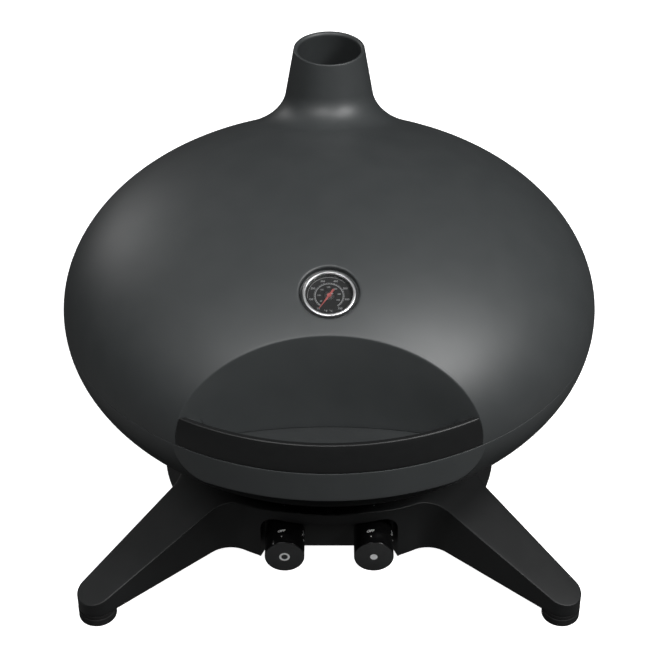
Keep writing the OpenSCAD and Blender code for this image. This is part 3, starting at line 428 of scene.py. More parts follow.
def buildLid():
    edge = lidLoop(0.0)
    tall = edge[:, 2] - shell["low"]
    foot = recessFoot(edge, 0.0)
    nDome = unit(edge / shellAxes ** 2)
    # roundings of the recess's mouth and of the lower edge die away into the corner where the two meet
    r1 = np.where(onArch, np.minimum(recess["edge"], np.minimum(0.04 * tall, 0.012 * tall ** 2)), 0.0)
    ramp = np.clip(np.abs(np.arange(len(edge)) - (archCount - 1)), 0, 4) / 4
    ramp = np.minimum(ramp, np.roll(ramp[::-1], 1))
    r2 = np.where(onArch, np.minimum(recess["foot"], 0.25 * tall), shell["seamEdge"] * ramp)
    upper = edgeRound(edge, nDome, np.where(arched, recessNormal(edge), nDome), r1)
    lower = edgeRound(foot, np.where(arched, recessNormal(foot), nDome), np.tile(down, (len(edge), 1)), r2, 5)
    ends = np.where(arched, upper[0], lower[0])
    ends[:, 2] = lidHeight(ends[:, 0], ends[:, 1], 0.0, chimney["r"], chimney["blend"])
    # rounded chimney mouth, outside and inside
    taper, innerR = math.radians(chimney["taper"]), chimney["r"] - chimney["wall"]
    tip, up = np.array([math.cos(taper), math.sin(taper)]), (0, 1)
    lipOut = cornerRound((chimney["r"], chimney["top"]), up, tip, chimney["lip"], 6)
    lipIn = cornerRound((innerR, chimney["top"]), -tip, up, chimney["lipIn"], 8)
    outer = lidPaths(ends, 0.0, chimney["r"], chimney["blend"], lipOut[-1, 0], 132)
    edgeIn = lidLoop(shell["wall"])
    footIn = recessFoot(edgeIn, shell["wall"])
    inner = lidPaths(edgeIn, shell["wall"], innerR, chimney["flueBlend"], lipIn[0, 0], 70)

    def ring(path, lip):
        away = unit(path[0, :, :2] - [0, chimney["y"]])
        return [row(away[:, 0] * r, away[:, 1] * r + chimney["y"], z) for r, z in lip]

    wallTop = np.where(arched, upper[-1], lower[0])
    rows = ring(outer, lipOut) + list(outer[1:])
    rows += [np.where(arched, step, lower[0]) for step in upper[1:]]
    rows += between(wallTop, lower[0], np.linspace(0, 1, 24)[1:])
    rows += list(lower[1:])
    rows += between(footIn, edgeIn, np.linspace(0, 1, 12))
    rows += list(inner[::-1][1:-1]) + ring(inner, lipIn)
    return gridPart(hingeFlat(np.array(rows)), True)


gaugeTurn = Matrix.Translation((0, gauge["y"], gauge["z"])) @ Matrix.Rotation(math.radians(gauge["tilt"]), 4, "X")
gaugeSeat = gaugeTurn @ Matrix.Translation((0, 0, -gauge["pocket"]))
gaugeLift = Matrix.Translation((0, 0, seamZ)) @ gaugeSeat  # the same seat, counted from the table


def cutPocket(part):
    # open the dome for the thermometer; the lining's thin skirt covers the uneven edge of the hole
    turn = np.array(gaugeSeat @ Matrix.Translation((0, gauge["upslope"], 0)))
    verts = np.asarray(part[0], float)
    local = (verts - turn[:3, 3]) @ turn[:3, :3]
    reach = np.hypot(local[:, 0], local[:, 1])
    pocketR, edge, foot = gauge["pocketR"], gauge["edge"], gauge["foot"]
    clear = pocketR + edge
    gone = np.zeros(len(verts), bool)
    for inset, holeR in ((0.0, clear + 0.3), (shell["wall"], pocketR)):
        field = ((verts / (shellAxes - inset)) ** 2).sum(1)
        gone |= (np.abs(field - 1) < 2e-3) & (reach < holeR) & (local[:, 2] > 0)
    faces = [f for f in part[1] if not any(gone[i] for i in f)]
    angle = fullTurn(192)

    def circle(radius, height):
        return row(radius * np.cos(angle), radius * np.sin(angle), height)

    def onSkin(radius):
        # height of the dome over the seat, round a circle
        start, ray = circle(radius, 0.0) @ turn[:3, :3].T + turn[:3, 3], turn[:3, 2]
        s, d = start / shellAxes, ray / shellAxes
        b, c = s @ d, (s * s).sum(1) - 1
        return (-b + np.sqrt(b * b - (d @ d) * c)) / (d @ d) + gauge["skirt"]

    rows = [circle(r, onSkin(r)) for r in np.linspace(clear + gauge["skirtOut"], clear, 6)]
    skin = onSkin(clear)
    for t in np.linspace(0, quarter, 7)[1:]:
        rows.append(circle(clear - edge * math.sin(t), skin - edge * (1 - math.cos(t))))
    for t in (0.35, 0.7):
        rows.append(circle(pocketR, (skin - edge) * (1 - t) + foot * t))
    for r, z in ((pocketR, foot), (pocketR - 0.25, 0.25), (pocketR - foot, 0.0), (gauge["bore"], 0.0)):
        rows.append(circle(r, z))
    return joinParts((verts, faces), placed(gridPart(rows), turn))


def handleStuds():
    # seats of the two handle screws behind the recess wall
    h = handleScrew
    stud = lathe(cornerArc([(h["bore"], 0), (h["r"], 0), (h["r"], h["long"])], [0.8], 3), 40)
    y = -recess["hub"] + math.sqrt(recess["r"] ** 2 - h["x"] ** 2) + h["seat"]
    turn = Matrix.Rotation(quarter, 4, "X")
    return [placed(stud, Matrix.Translation((side * h["x"], y, h["z"])) @ turn) for side in (-1, 1)]


boss = placed(lathe(cornerArc([(10, -2.5), (35, -2.5), (35, 3), (34, 4)], [1.2, 0.2], 4)), gaugeSeat)
lidPart = joinParts(cutPocket(buildLid()), boss, *handleStuds(), hingePad(hinge["gap"], hinge["tall"]))
lid = makePiece("lid_casting", lidPart, "body_coat", "lid", hides=["lid_shell"], sharp=34, lift=seamZ)
print("lid casting:", len(lid.data.vertices), "points")


strip = {"low": 0.6, "high": 29.0, "thick": 4.6, "span": 118.0, "fit": 0.5, "endGap": 0.4, "topEdge": 1.1,
         "lowEdge": 0.5, "endTop": 21.5}


def buildHandle():
    # sections across the strip; the ends run out to wedges against the recess wall
    s = np.linspace(-1, 1, 121)
    s = 0.35 * np.sin(s * quarter) + 0.65 * s
    z = np.linspace(strip["low"], strip["high"], 13)
    reach = recessHalf(z, fit=strip["fit"]) - strip["endGap"]

    def cross(h):
        # front and back of the strip at one height
        x = s * np.interp(h, z, reach)
        wall = recessY(x, h) - strip["fit"]
        thin = -np.sqrt(np.maximum((domeR(h) - strip["thick"]) ** 2 - x * x, 1))
        t = smooth(np.clip((np.abs(x) - strip["span"] + 6) / 8, 0, 1))
        t = t * np.clip((strip["endTop"] - h) / 2, 0, 1)  # solid ends stay under the top edge
        return x, -np.sqrt(domeR(h) ** 2 - x * x), np.minimum(thin + (wall - thin) * t, wall)

    def edgeRows(h0, r, sign, frontSide):
        out = []
        for t in np.linspace(0, quarter, 7):
            h = h0 - sign * r * (1 - math.sin(t))
            x, front, back = cross(h)
            pull = np.minimum(r, np.maximum(back - front, 0.0) * 0.45) * (1 - math.cos(t))
            out.append(row(x, front + pull if frontSide else back - pull, h))
        return out

    # up the front face, over the top, and down the back
    low, top = (strip["low"], strip["lowEdge"], -1), (strip["high"], strip["topEdge"], 1)
    heights = np.linspace(strip["low"] + strip["lowEdge"], strip["high"] - strip["topEdge"], 9)[1:-1]
    rows = edgeRows(*low, True)[::-1]
    rows += [row(*cross(h)[:2], h) for h in heights]
    rows += edgeRows(*top, True) + edgeRows(*top, False)[::-1]
    rows += [row(*cross(h)[::2], h) for h in heights[::-1]]
    rows += edgeRows(*low, False)
    verts, faces = gridPart(rows, True, False)
    n, m = len(rows), len(s)
    return verts, faces + [[k * m for k in range(n)], [k * m + m - 1 for k in range(n)][::-1]]


handle = makePiece("handle_strip", buildHandle(), "handle_plastic", "lid", hides=["handle"], sharp=40, lift=seamZ)
print("handle strip:", len(handle.data.vertices), "points")


bowlForm = {"lipH": 33.0, "lipHalf": 141.5, "lipR": 31.0, "lipEdge": 1.0, "lipTop": 0.25, "lipBack": 2.4,
            "lipSunk": 2.0, "drainR": 15.0, "spoutR": 19.0, "drainLow": 8.0, "innerEdge": 0.6}
ledgeForm = {"half": 139.0, "thick": 4.5, "edge": 1.2, "sunk": 1.8, "least": 0.3}
bowlFit = {"seatR": 142.5, "seatZ": 84.1, "grateIn": 237.0, "grateOut": 253.5, "grateHalf": 11.0, "grateTop": -23.05,
           "grateLow": -31.0, "postR": 122.0, "postZ": -129.0, "collarLow": -148.4, "collarTop": -128.0}


def buildBowl():
    a, c, w, low = shell["a"], shell["c"], shell["wall"], shell["low"]
    drainR, spoutR, bottom = bowlForm["drainR"], bowlForm["spoutR"], -c - bowlForm["drainLow"]
    fall = np.linspace(math.asin(low / c) + 0.008, quarter - math.asin(spoutR / a), 72)
    outer = [(a * math.cos(t), -c * math.sin(t)) for t in fall]
    rise = np.linspace(quarter - math.asin(drainR / (a - w)), math.asin(low / (c - w)), 60)
    inner = [((a - w) * math.cos(t), -(c - w) * math.sin(t)) for t in rise]
    edge = cornerRound((domeR(low), -low), (0, 1), (1, 0), shell["seamEdge"], 5)
    edgeIn = cornerRound((domeR(low, w), -low), (-1, 0), (0, 1), bowlForm["innerEdge"], 3)
    spout = cornerArc([outer[-1], (spoutR, bottom), (drainR, bottom), (drainR, -c + w - 0.2)], [0.8, 0.6], 3)
    verts, faces = lathe([*edge, *outer[1:], *spout[1:], *inner[:-1], *edgeIn], 288, True)
    return hingeFlat(verts), faces


def buildLip():
    # front band that stands plumb under the seam, with round lower corners
    half, h, r = bowlForm["lipHalf"], bowlForm["lipH"], bowlForm["lipR"]
    a, zTop = domeR(shell["low"]), -shell["low"]
    right = [(half, zTop - t) for t in np.linspace(0, h - r, 4)[:-1]]
    right += [(half - r + r * math.cos(t), zTop - h + r - r * math.sin(t)) for t in np.linspace(0, quarter, 26)]
    flat = [(x, zTop - h) for x in np.linspace(half - r, r - half, 60)[1:-1]]
    line = np.array(right + flat + [(-x, z) for x, z in right[::-1]])
    tangent = unit(np.gradient(line, axis=0))
    x, z = line.T
    y = -np.sqrt(a * a - x * x)
    wallN = unit(row(x, y, 0.0))
    lowN = unit(row(tangent[:, 1], 0.0, tangent[:, 0]))
    lowN = np.where(lowN[:, 2:] > 0, -lowN, lowN)
    wrong = (lowN[:, 0] * x < 0) & (np.abs(lowN[:, 0]) > 1e-3)  # the round corners face outwards
    lowN = np.where(wrong[:, None], lowN * [-1, 1, 1], lowN)
    room = np.maximum(0.3 * (zTop - z), 0.01)
    lower = edgeRound(row(x, y, z), wallN, lowN, np.minimum(bowlForm["lipEdge"], room), 6)
    crown = row(x, y, zTop)
    upper = edgeRound(crown, np.tile(-down, (len(line), 1)), wallN, np.minimum(bowlForm["lipTop"], room), 5)
    inset = crown - wallN * bowlForm["lipBack"]
    inset[:, 2] = np.maximum(z, zTop - 3)
    rows = [inset, *upper, *between(upper[-1], lower[0], np.linspace(0, 1, 12)[1:-1]), *lower]
    # underside runs back level into the bowl's wall
    lastX, lastY, lastZ = lower[-1].T
    skin = -np.sqrt(np.maximum(domeR(lastZ) ** 2 - lastX ** 2, 0)) + bowlForm["lipSunk"]
    rows += between(lower[-1], row(lastX, np.maximum(skin, lastY), lastZ), (0.5, 1.0))
    return gridPart(rows, True, False)


def buildLedge():
    # closes the bowl under the lid's recess
    form = ledgeForm
    rimIn = domeR(shell["low"], shell["wall"])
    x = np.linspace(-form["half"], form["half"], 101)
    front = -np.sqrt(rimIn ** 2 - x * x)
    rear = np.maximum(recessY(x, -shell["low"], shell["wall"]), front + form["least"])
    deep = -np.sqrt((rimIn + form["sunk"]) ** 2 - x * x)
    top, low = -shell["low"], -shell["low"] - form["thick"]
    r = np.minimum(form["edge"], 0.3 * (rear - front))
    rows = [row(x, deep, low + 0.3), row(x, deep, top - 1.4), row(x, front - 0.02, top)]
    rows += [row(x, y, top) for y in between(front, rear - r, np.linspace(0, 1, 7)[1:-1])]
    rows += [row(x, rear - r * (1 - math.sin(t)), top - r * (1 - math.cos(t))) for t in np.linspace(0, quarter, 6)]
    rows += [row(x, rear + (deep - rear) * t, low + 0.3 * t) for t in np.linspace(0, 1, 4)]
    return gridPart(rows, True, False)


def bowlFittings():
    b = bowlFit
    seat = lathe([(2.6, 0), (10.3, 0), (10.8, 0.3), (11, 0.9), (11, 16)], 48)  # stands on the drum
    grate = softBox((b["grateIn"], -b["grateHalf"], b["grateLow"]),
                    (b["grateOut"], b["grateHalf"], b["grateTop"]), 1.5, 3)
    post = lathe([(7, 0), (7, 8.4), (6.7, 9.1), (6, 9.4), (0.01, 9.4)], 40)  # carries the burners
    parts = [placed(seat, around(45 + 90 * k, b["seatR"], b["seatZ"] - seamZ)) for k in range(4)]
    parts += [placed(grate, around(60 * k)) for k in range(6)]
    parts += [placed(post, around(90 + 120 * k, b["postR"], b["postZ"])) for k in range(3)]
    for x, y, r in ((-44, -88, 15), (44, -35, 15), (-22, -76, 8), (20, -30, 8)):  # mixing tubes and electrodes
        low = b["collarLow"]
        collar = lathe([(r * 0.4, low), (r - 0.8, low), (r, low + 0.8), (r, b["collarTop"])], 48)
        parts.append(placed(collar, Matrix.Translation((x, y, 0))))
    return parts


bowlPart = joinParts(buildBowl(), buildLip(), *bowlFittings(), hingePad(-hinge["tall"], -hinge["gap"]))
bowl = makePiece("bowl_casting", bowlPart, "body_coat", "stand", hides=["bowl"], sharp=34, lift=seamZ)
# the ledge wears the darker coat: painted shade under the lid's recess, on the same casting as the bowl
makePiece("bowl_ledge", buildLedge(), "ledge_shade_coat", "stand", "body_coat", sharp=34, lift=seamZ)
print("bowl casting:", len(bowl.data.vertices), "points")


baseForm = {"drumR": 176.0, "top": 84.0, "low": 14.0, "wall": 5.0, "footR": 321.0, "armW": 84.0, "tipR": 18.3,
            "tipTop": 34.2, "crest": 147.5, "crestSoft": 1.6, "fillet": 28.0, "mouthR": 120.0, "mouthEdge": 1.5,
            "edge": 1.3, "lowEdge": 0.9, "cutHalf": 68.4, "cutTop": 70.0, "cutR": 18.0, "cutEdge": 1.0,
            "slotHalf": 61.0, "slotLow": 19.3, "slotTop": 53.3, "padZ": 14.1}
cheekForm = {"sunk": 1.0, "deep": 11.0, "thick": 2.5, "low": 14.2, "high": 56.0}
armTan = (baseForm["top"] - baseForm["tipTop"]) / (baseForm["footR"] - baseForm["crest"])


def armSide():
    # plan of one side of an arm, tip to drum: points and outward normals
    b = baseForm
    k = (b["armW"] / 2 - b["tipR"]) / b["footR"]
    q = math.sqrt(1 + k * k)
    fb, fd = b["armW"] / 2 + b["fillet"] * q, b["drumR"] + b["fillet"]
    u = (fb * k + math.sqrt((fb * k) ** 2 - q * q * (fb * fb - fd * fd))) / (q * q)
    hub = np.array([u, fb - k * u])
    n1 = np.array([k, 1]) / q
    points, normals = [], []
    for t in np.linspace(0, math.atan2(1, k), 18):
        points.append((b["footR"] + b["tipR"] * math.cos(t), b["tipR"] * math.sin(t)))
        normals.append((math.cos(t), math.sin(t)))
    straight = between(np.array(points[-1]), hub - b["fillet"] * n1, np.linspace(0, 1, 22)[1:])
    points += straight
    normals += [n1] * len(straight)
    for g in np.linspace(math.atan2(-n1[1], -n1[0]), math.atan2(-hub[1], -hub[0]), 16)[1:]:
        points.append((hub[0] + b["fillet"] * math.cos(g), hub[1] + b["fillet"] * math.sin(g)))
        normals.append((-math.cos(g), -math.sin(g)))
    return np.array(points), np.array(normals)


def basePlan():
    # every column of the casting: plan point, side normal, inner plan point, lower height and lower normal
    b = baseForm
    side, sideN = (np.r_[v[::-1] * [1, -1], v[1:]] for v in armSide())  # both sides, round the tip
    far = math.atan2(side[-1, 1], side[-1, 0])
    columns = []

    def put(p, n, inner=None, z=b["low"], lowN=(0, 0, -1)):
        inner = p - n * b["wall"] if inner is None else inner
        columns.append((*p, *n, *inner, z, *lowN))

    def drum(angles):
        for g in angles:
            d = np.array([math.cos(g), math.sin(g)])
            put(d * b["drumR"], d)

    def cut(x, z, lowN):
        p = np.array([x, -math.sqrt(b["drumR"] ** 2 - x * x)])
        inner = np.array([x, -math.sqrt((b["drumR"] - b["wall"]) ** 2 - x * x)])
        put(p, p / b["drumR"], inner, z, lowN)

    def knobCut():
        flat, r = b["cutHalf"] - b["cutR"], b["cutR"]
        sideLine = [(b["cutHalf"], z, (-1, 0, 0)) for z in np.linspace(b["low"], b["cutTop"] - r, 5)]
        for t in np.linspace(0, quarter, 14)[1:]:
            c, s = math.cos(t), math.sin(t)
            sideLine.append((flat + r * c, b["cutTop"] - r + r * s, (-c, 0, -s)))
        for x, z, n in sideLine:
            cut(-x, z, (-n[0], 0, n[2]))
        for x in np.linspace(-flat, flat, 40)[1:-1]:
            cut(x, b["cutTop"], (0, 0, -1))
        for x, z, n in sideLine[::-1]:
            cut(x, z, n)

    for arm in range(4):
        g = math.pi / 4 + arm * quarter  # arm axis; the drum after it faces g + 45 degrees
        spin = np.array([[math.cos(g), -math.sin(g)], [math.sin(g), math.cos(g)]])
        for p, n in zip(side, sideN):
            put(spin @ p, spin @ n)
        start, end = g + far, g + quarter - far
        middle = g + math.pi / 4
        if arm == 0:  # rear, with the tray's slot
            slot = math.asin(b["slotHalf"] / b["drumR"])
            drum(np.linspace(start, middle - slot, 7)[1:])
            drum(np.linspace(middle - slot, middle + slot, 25)[1:])
            drum(np.linspace(middle + slot, end, 7)[1:-1])
        elif arm == 2:  # front, with the knob cut-out
            corner = math.asin(b["cutHalf"] / b["drumR"])
            drum(np.linspace(start, middle - corner, 6)[1:-1])
            knobCut()
            drum(np.linspace(middle + corner, end, 6)[1:-1])
        else:
            drum(np.linspace(start, end, 24)[1:-1])
    return np.array(columns)


def baseTop(x, y):
    # flat drum top that falls away along each arm, with a softened crest
    b = baseForm
    z = np.full(np.shape(x), b["top"])
    for arm in range(4):
        g = math.pi / 4 + arm * quarter
        plane = b["tipTop"] + (b["footR"] - (x * math.cos(g) + y * math.sin(g))) * armTan
        h = np.maximum(b["crestSoft"] - np.abs(z - plane), 0) / b["crestSoft"]
        z = np.minimum(z, plane) - h * h * b["crestSoft"] / 4
    return z


def baseRow(r, toward, drop=0.0):
    # points at the radii r on the top face, or on its underside
    x, y = r * np.cos(toward), r * np.sin(toward)
    return row(x, y, baseTop(x, y) - drop)


def buildBase():
    b = baseForm
    col = basePlan()
    n = len(col)
    p, side, inner, zLow, lowN = col[:, :2], col[:, 2:4], col[:, 4:6], col[:, 6], col[:, 7:10]
    x, y, e = p[:, 0], p[:, 1], 0.05
    topN = unit(row((baseTop(x - e, y) - baseTop(x + e, y)) / (2 * e),
                    (baseTop(x, y - e) - baseTop(x, y + e)) / (2 * e), 1.0))
    sideN = np.column_stack([side, np.zeros(n)])
    brow = edgeRound(row(x, y, baseTop(x, y)), topN, sideN, b["edge"], 6)
    footR = np.where(zLow > b["low"] + 0.1, b["cutEdge"], b["lowEdge"])
    foot = edgeRound(row(x, y, zLow), sideN, lowN, footR, 4)
    # top rows run out from the mouth of the drum, closer together at the crest
    toward, far = np.arctan2(brow[0, :, 1], brow[0, :, 0]), np.hypot(brow[0, :, 0], brow[0, :, 1])
    arm = np.round((toward - math.pi / 4) / quarter) * quarter + math.pi / 4
    crest = b["crest"] / np.cos(toward - arm)
    mouth = cornerRound((b["mouthR"], b["top"]), (-1, 0), (0, 1), b["mouthEdge"], 4)
    rows = [row(r * np.cos(toward), r * np.sin(toward), z) for r, z in mouth]
    radii = [b["mouthR"] + 10] + [crest + d for d in (-7, -3.5, -1.5, 0, 1.5, 3.5, 7)]
    for r in radii + between(crest, far, (0.25, 0.5, 0.75)):
        rows.append(baseRow(np.clip(r, mouth[-1][0] + 0.2, far), toward))
    rows += list(brow)
    wallRows = len(rows) - 1
    heights = [b["slotTop"], 44, 36, 28, b["slotLow"]]
    rows += [row(x, y, np.clip(h, foot[0, :, 2], brow[-1, :, 2])) for h in heights]
    rows += list(foot)
    # the inside goes back up and in to the mouth
    x, y = inner[:, 0], inner[:, 1]
    topIn = np.maximum(baseTop(x, y) - b["wall"], zLow)
    rows.append(row(x, y, zLow))
    inRows = len(rows) - 1
    rows += [row(x, y, np.clip(h, zLow, topIn)) for h in heights[::-1]]
    rows.append(row(x, y, topIn))
    rows += [baseRow(r, np.arctan2(y, x), b["wall"]) for r in between(np.hypot(x, y), b["mouthR"], (0.3, 0.6, 1.0))]
    rows = np.array(rows)
    faces = gridFaces(len(rows), n, True).reshape(len(rows), n, 4)
    # open the slot for the tray in the outer and inner wall, and join the two round its edge
    inSlot = (np.abs(p[:, 0]) < b["slotHalf"] + 0.01) & (p[:, 1] > 100)
    cols = np.where(inSlot & np.roll(inSlot, -1))[0]
    first, last, span = cols[0], cols[-1] + 1, len(heights)
    keep = np.ones(faces.shape[:2], bool)
    for start in (wallRows, inRows):
        keep[start + 1:start + span, first:last] = False
    top, low, topBack, lowBack = wallRows + 1, wallRows + span, inRows + span, inRows + 1
    extra = []
    for j in range(first, last):
        for out, back in ((top, topBack), (low, lowBack)):
            extra.append([out * n + j, out * n + j + 1, back * n + j + 1, back * n + j])
    for j in (first, last):
        for k in range(span - 1):
            out, back = top + k, topBack - k
            extra.append([out * n + j, (out + 1) * n + j, (back - 1) * n + j, back * n + j])
    return rows.reshape(-1, 3), faces[keep].tolist() + extra


def cutCheek(side):
    # return at a side of the knob cut-out, turned in towards the drum's centre
    b, c = baseForm, cheekForm
    outer = np.array([b["cutHalf"], -math.sqrt((b["drumR"] - c["sunk"]) ** 2 - b["cutHalf"] ** 2)])
    inward = -unit(outer)
    away = np.array([inward[1], -inward[0]]) * c["thick"]
    inner = outer + inward * c["deep"]
    ring = np.array([outer, inner, inner + away, outer + away])
    verts, faces = gridPart([row(side * ring[:, 0], ring[:, 1], z) for z in (c["low"], c["high"])])
    return verts, faces + [[0, 1, 2, 3], [7, 6, 5, 4]]


footSeat = lathe([(2.6, 0), (8.6, 0), (9, 0.4), (9, 15)], 48)
footSeats = [placed(footSeat, around(45 + 90 * k, baseForm["footR"], baseForm["padZ"])) for k in range(4)]
basePart = joinParts(buildBase(), cutCheek(-1), cutCheek(1), *footSeats)
base = makePiece("base_casting", basePart, "base_coat", "stand", hides=["base_frame"], sharp=34)
print("base casting:", len(base.data.vertices), "points")


knobForm = {"x": 44.0, "z": 42.0, "r": 19.6, "front": 191.0, "back": 154.0, "edge": 0.7, "skirt": 3.0, "hubR": 7.0,
            "bore": 3.1, "web": 4.0, "faceIn": 0.95, "faceLift": 0.03, "markLift": 0.06, "offAngle": -9.0,
            "flankAngle": 70.0, "ringR": 4.2, "ringW": 2.1, "dotR": 3.7}
knobLong = knobForm["front"] - knobForm["back"]


def knobPart():
    k, inner = knobForm, knobForm["r"] - knobForm["skirt"]
    under = knobLong - k["web"]
    skirt = cornerArc([(k["hubR"], 3), (k["hubR"], under), (inner, under), (inner, 0), (k["r"], 0),
                       (k["r"], knobLong), (0.01, knobLong)], [0, 1, 1, k["edge"], k["edge"]], 6)
    return lathe([(k["bore"], 3)] + skirt, 128)


def knobFace():
    r, z = knobForm["r"] - knobForm["faceIn"], knobLong + knobForm["faceLift"]
    return lathe(cornerArc([(r, knobLong - 0.4), (r, z), (0.01, z)], [0.03], 3))


def onKnob(points, faces):
    # lay flat print on the knob's round side: x runs round it, y back from its face
    p, r = np.asarray(points, float), knobForm["r"] + knobForm["markLift"]
    turn = p[:, 0] / r
    return row(r * np.sin(turn), p[:, 1] - knobForm["front"], knobForm["z"] + r * np.cos(turn)), faces


def stroke(points, width, closed=False):
    # flat ribbon along a line of points
    p = np.asarray(points, float)
    d = np.roll(p, -1, 0) - np.roll(p, 1, 0) if closed else np.gradient(p, axis=0)
    side = unit(np.stack([-d[:, 1], d[:, 0]], -1)) * width / 2
    return gridPart([row(*line.T, 0.0) for line in (p + side, p - side)], False, closed)


def circleStroke(x, y, r, width, count):
    t = fullTurn(count)
    return stroke(np.stack([x + r * np.cos(t), y + r * np.sin(t)], -1), width, True)


def disc(x, y, r, segments=24):
    t = fullTurn(segments)
    return row(x + r * np.cos(t), y + r * np.sin(t), 0.0), [list(range(segments))]


def words(text, height, x, y, lean=0.0, weight=0.018):
    # letters as flat mesh, centred on x, y
    curve = bpy.data.curves.new("print", "FONT")
    curve.body = text
    curve.size = height / 0.7
    curve.shear = lean
    curve.resolution_u = 5
    curve.align_x, curve.align_y = "CENTER", "CENTER"
    curve.offset = weight * height
    source = bpy.data.objects.new("print", curve)
    scene.collection.objects.link(source)
    bpy.context.view_layer.update()
    mesh = bpy.data.meshes.new_from_object(source.evaluated_get(bpy.context.evaluated_depsgraph_get()))
    p = np.array([list(v.co) for v in mesh.vertices]) * [1, 1, 0]
    faces = [list(f.vertices) for f in mesh.polygons]
    p[:, :2] += np.array([x, y]) - (p[:, :2].min(0) + p[:, :2].max(0)) / 2
    bpy.data.objects.remove(source)
    bpy.data.curves.remove(curve)
    bpy.data.meshes.remove(mesh)
    return p, faces


def knobMarks(ringed):
    k = knobForm
    at, flank = math.radians(k["offAngle"]) * k["r"], math.radians(k["flankAngle"]) * k["r"]
    sides = [words("OFF", 3.0, at, 16.6, lean=0.22, weight=0.04), disc(at + 0.2, 8.8, 0.6),
             stroke([(flank - 1.4, 29.0), (flank + 1.6, 24.5)], 1.0),
             stroke([(flank - 2.6, 23.0), (flank + 1.6, 16.5)], 1.1)]
    face, rings = circleStroke(0, 0, k["ringR"], k["ringW"], 64) if ringed else disc(0, 0, k["dotR"], 48)
    front = row(face[:, 0], -k["front"] - k["markLift"], face[:, 1] + k["z"]), rings
    return joinParts(*(onKnob(*part) for part in sides), front)


for name, side, ringed in (("left", -1, True), ("right", 1, False)):
    x, control = side * knobForm["x"], name + "_control"
    at = Matrix.Translation((x, -knobForm["back"], knobForm["z"])) @ Matrix.Rotation(quarter, 4, "X")
    makePiece(name + "_knob_cap", placed(knobPart(), at), "knob_plastic", control, hides=[name + "_knob"])
    makePiece(name + "_knob_face", placed(knobFace(), at), "knob_satin", control, "knob_plastic")
    makePiece(name + "_knob_marks", placed(knobMarks(ringed), Matrix.Translation((x, 0, 0))), "pale_print", control,
              "knob_plastic", mend=False)
print("knobs and marks made")


dialForm = {"z": 2.13, "ringR": 12.6, "start": 234.0, "sweep": 288.0, "numberR": 16.6, "innerR": 9.2, "outerR": 19.6,
            "unitY": -16.0}
bezelForm = {"outer": 24.35, "inner": 21.5, "back": 23.4, "low": 0.6, "top": 7.0}


def dialMarks():
    d = dialForm

    def spot(share, r):
        t = math.radians(d["start"] - d["sweep"] * share)
        return r * math.cos(t), r * math.sin(t)

    def arc(r, width, s0=0.0, s1=1.0):
        return stroke([spot(s, r) for s in np.linspace(s0, s1, 90)], width)

    parts = [arc(d["ringR"], 0.55), arc(d["ringR"] + 1.0, 0.22), arc(d["outerR"], 0.28, 0.16, 0.66)]
    for k in range(29):
        long = 0.8 if k % 4 else 1.5
        parts.append(stroke([spot(k / 28, d["ringR"] - 0.2), spot(k / 28, d["ringR"] + long)], 0.3))
    parts += [words(str(100 * k + 50), 1.9, *spot(k / 7, d["numberR"])) for k in range(8)]
    parts += [words(str(50 * k + 50), 1.5, *spot((k + 0.4) / 7, d["innerR"])) for k in range(7)]
    for letter, height, x, degreeX in (("F", 2.0, -2.2, -4.0), ("C", 1.8, 2.2, 0.6)):
        parts.append(words(letter, height, x, d["unitY"]))
        parts.append(circleStroke(degreeX, d["unitY"] + 0.9, 0.35, 0.2, 20))
    v, f = joinParts(*parts)
    v[:, 2] = d["z"]
    return placed((v, f), gaugeLift)


def bezelPart():
    b = bezelForm
    ring = cornerArc([(b["back"], b["low"]), (b["outer"], b["low"]), (b["outer"], b["top"]), (b["inner"], b["top"]),
                      (b["inner"], 5.7), (21.8, 5.6), (21.9, 4.45), (b["back"], 4.4)],
                     [0.3, 1.6, 1.1, 0.1, 0.1, 0.1], 8)
    return placed(lathe(ring, 160, True), gaugeLift)


def sunkCopy(node):
    # the frame's own gauge piece, set deeper into the pocket
    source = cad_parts[node]
    verts = [source.matrix_world @ v.co / mm for v in source.data.vertices]
    axis = gaugeTurn.to_3x3() @ Vector((0, 0, -gauge["sunk"]))
    return np.array([v + axis for v in verts]), [list(f.vertices) for f in source.data.polygons]


makePiece("dial_marks", dialMarks(), "grey_print", "lid", "dial_face", mend=False)
for node, body, finish in (("gauge_case", "lid", "gauge_steel"), ("gauge_dial", "lid", "dial_face"),
                           ("gauge_needle", "needle", "needle_red"), ("gauge_glass", "lid", "gauge_glass")):
    makePiece(node.replace("gauge", "sunk"), sunkCopy(node), finish, body, hides=[node])
makePiece("chrome_bezel", bezelPart(), "gauge_chrome", "lid", hides=["gauge_bezel"], sharp=40)
print("thermometer dressed")


drumPrint = {"x": 44.0, "dotY": -161.9, "dotR": 0.9, "sparkY": -170.0, "sparkIn": 1.0, "sparkOut": 2.6, "z": 84.05}


def drumMarks():
    # a dot over each knob, and a spark between them
    d = drumPrint
    parts = [disc(side * d["x"], d["dotY"], d["dotR"]) for side in (-1, 1)]
    for t in fullTurn(8):
        ray = np.array([math.cos(t), math.sin(t)])
        parts.append(stroke([ray * r + [0, d["sparkY"]] for r in (d["sparkIn"], d["sparkOut"])], 0.35))
    v, f = joinParts(*parts)
    v[:, 2] = d["z"]
    return v, f


makePiece("drum_marks", drumMarks(), "grey_print", "stand", "base_coat", mend=False)
print("drum marks made")


# the studio is in metres

floorForm = {"half": 6.0, "shadeR": (0.158, 0.168), "shadeY": (-0.127, -0.131)}
softboxes = {  # azimuth from the front towards the right, elevation, width, power
    "key_softbox": (55, 62, 0.6, 30.5),
    "key_low": (65, 44, 0.6, 33.5),
    "right_fill": (50, 40, 0.6, 31),
    "left_top": (-60, 54, 1.3, 8),
    "left_front": (-20, 54, 1.3, 43),
    "rear_left": (-135, 18, 0.9, 11),
}
lightAim, lightAway = Vector((0, 0, 0.25)), 3.0
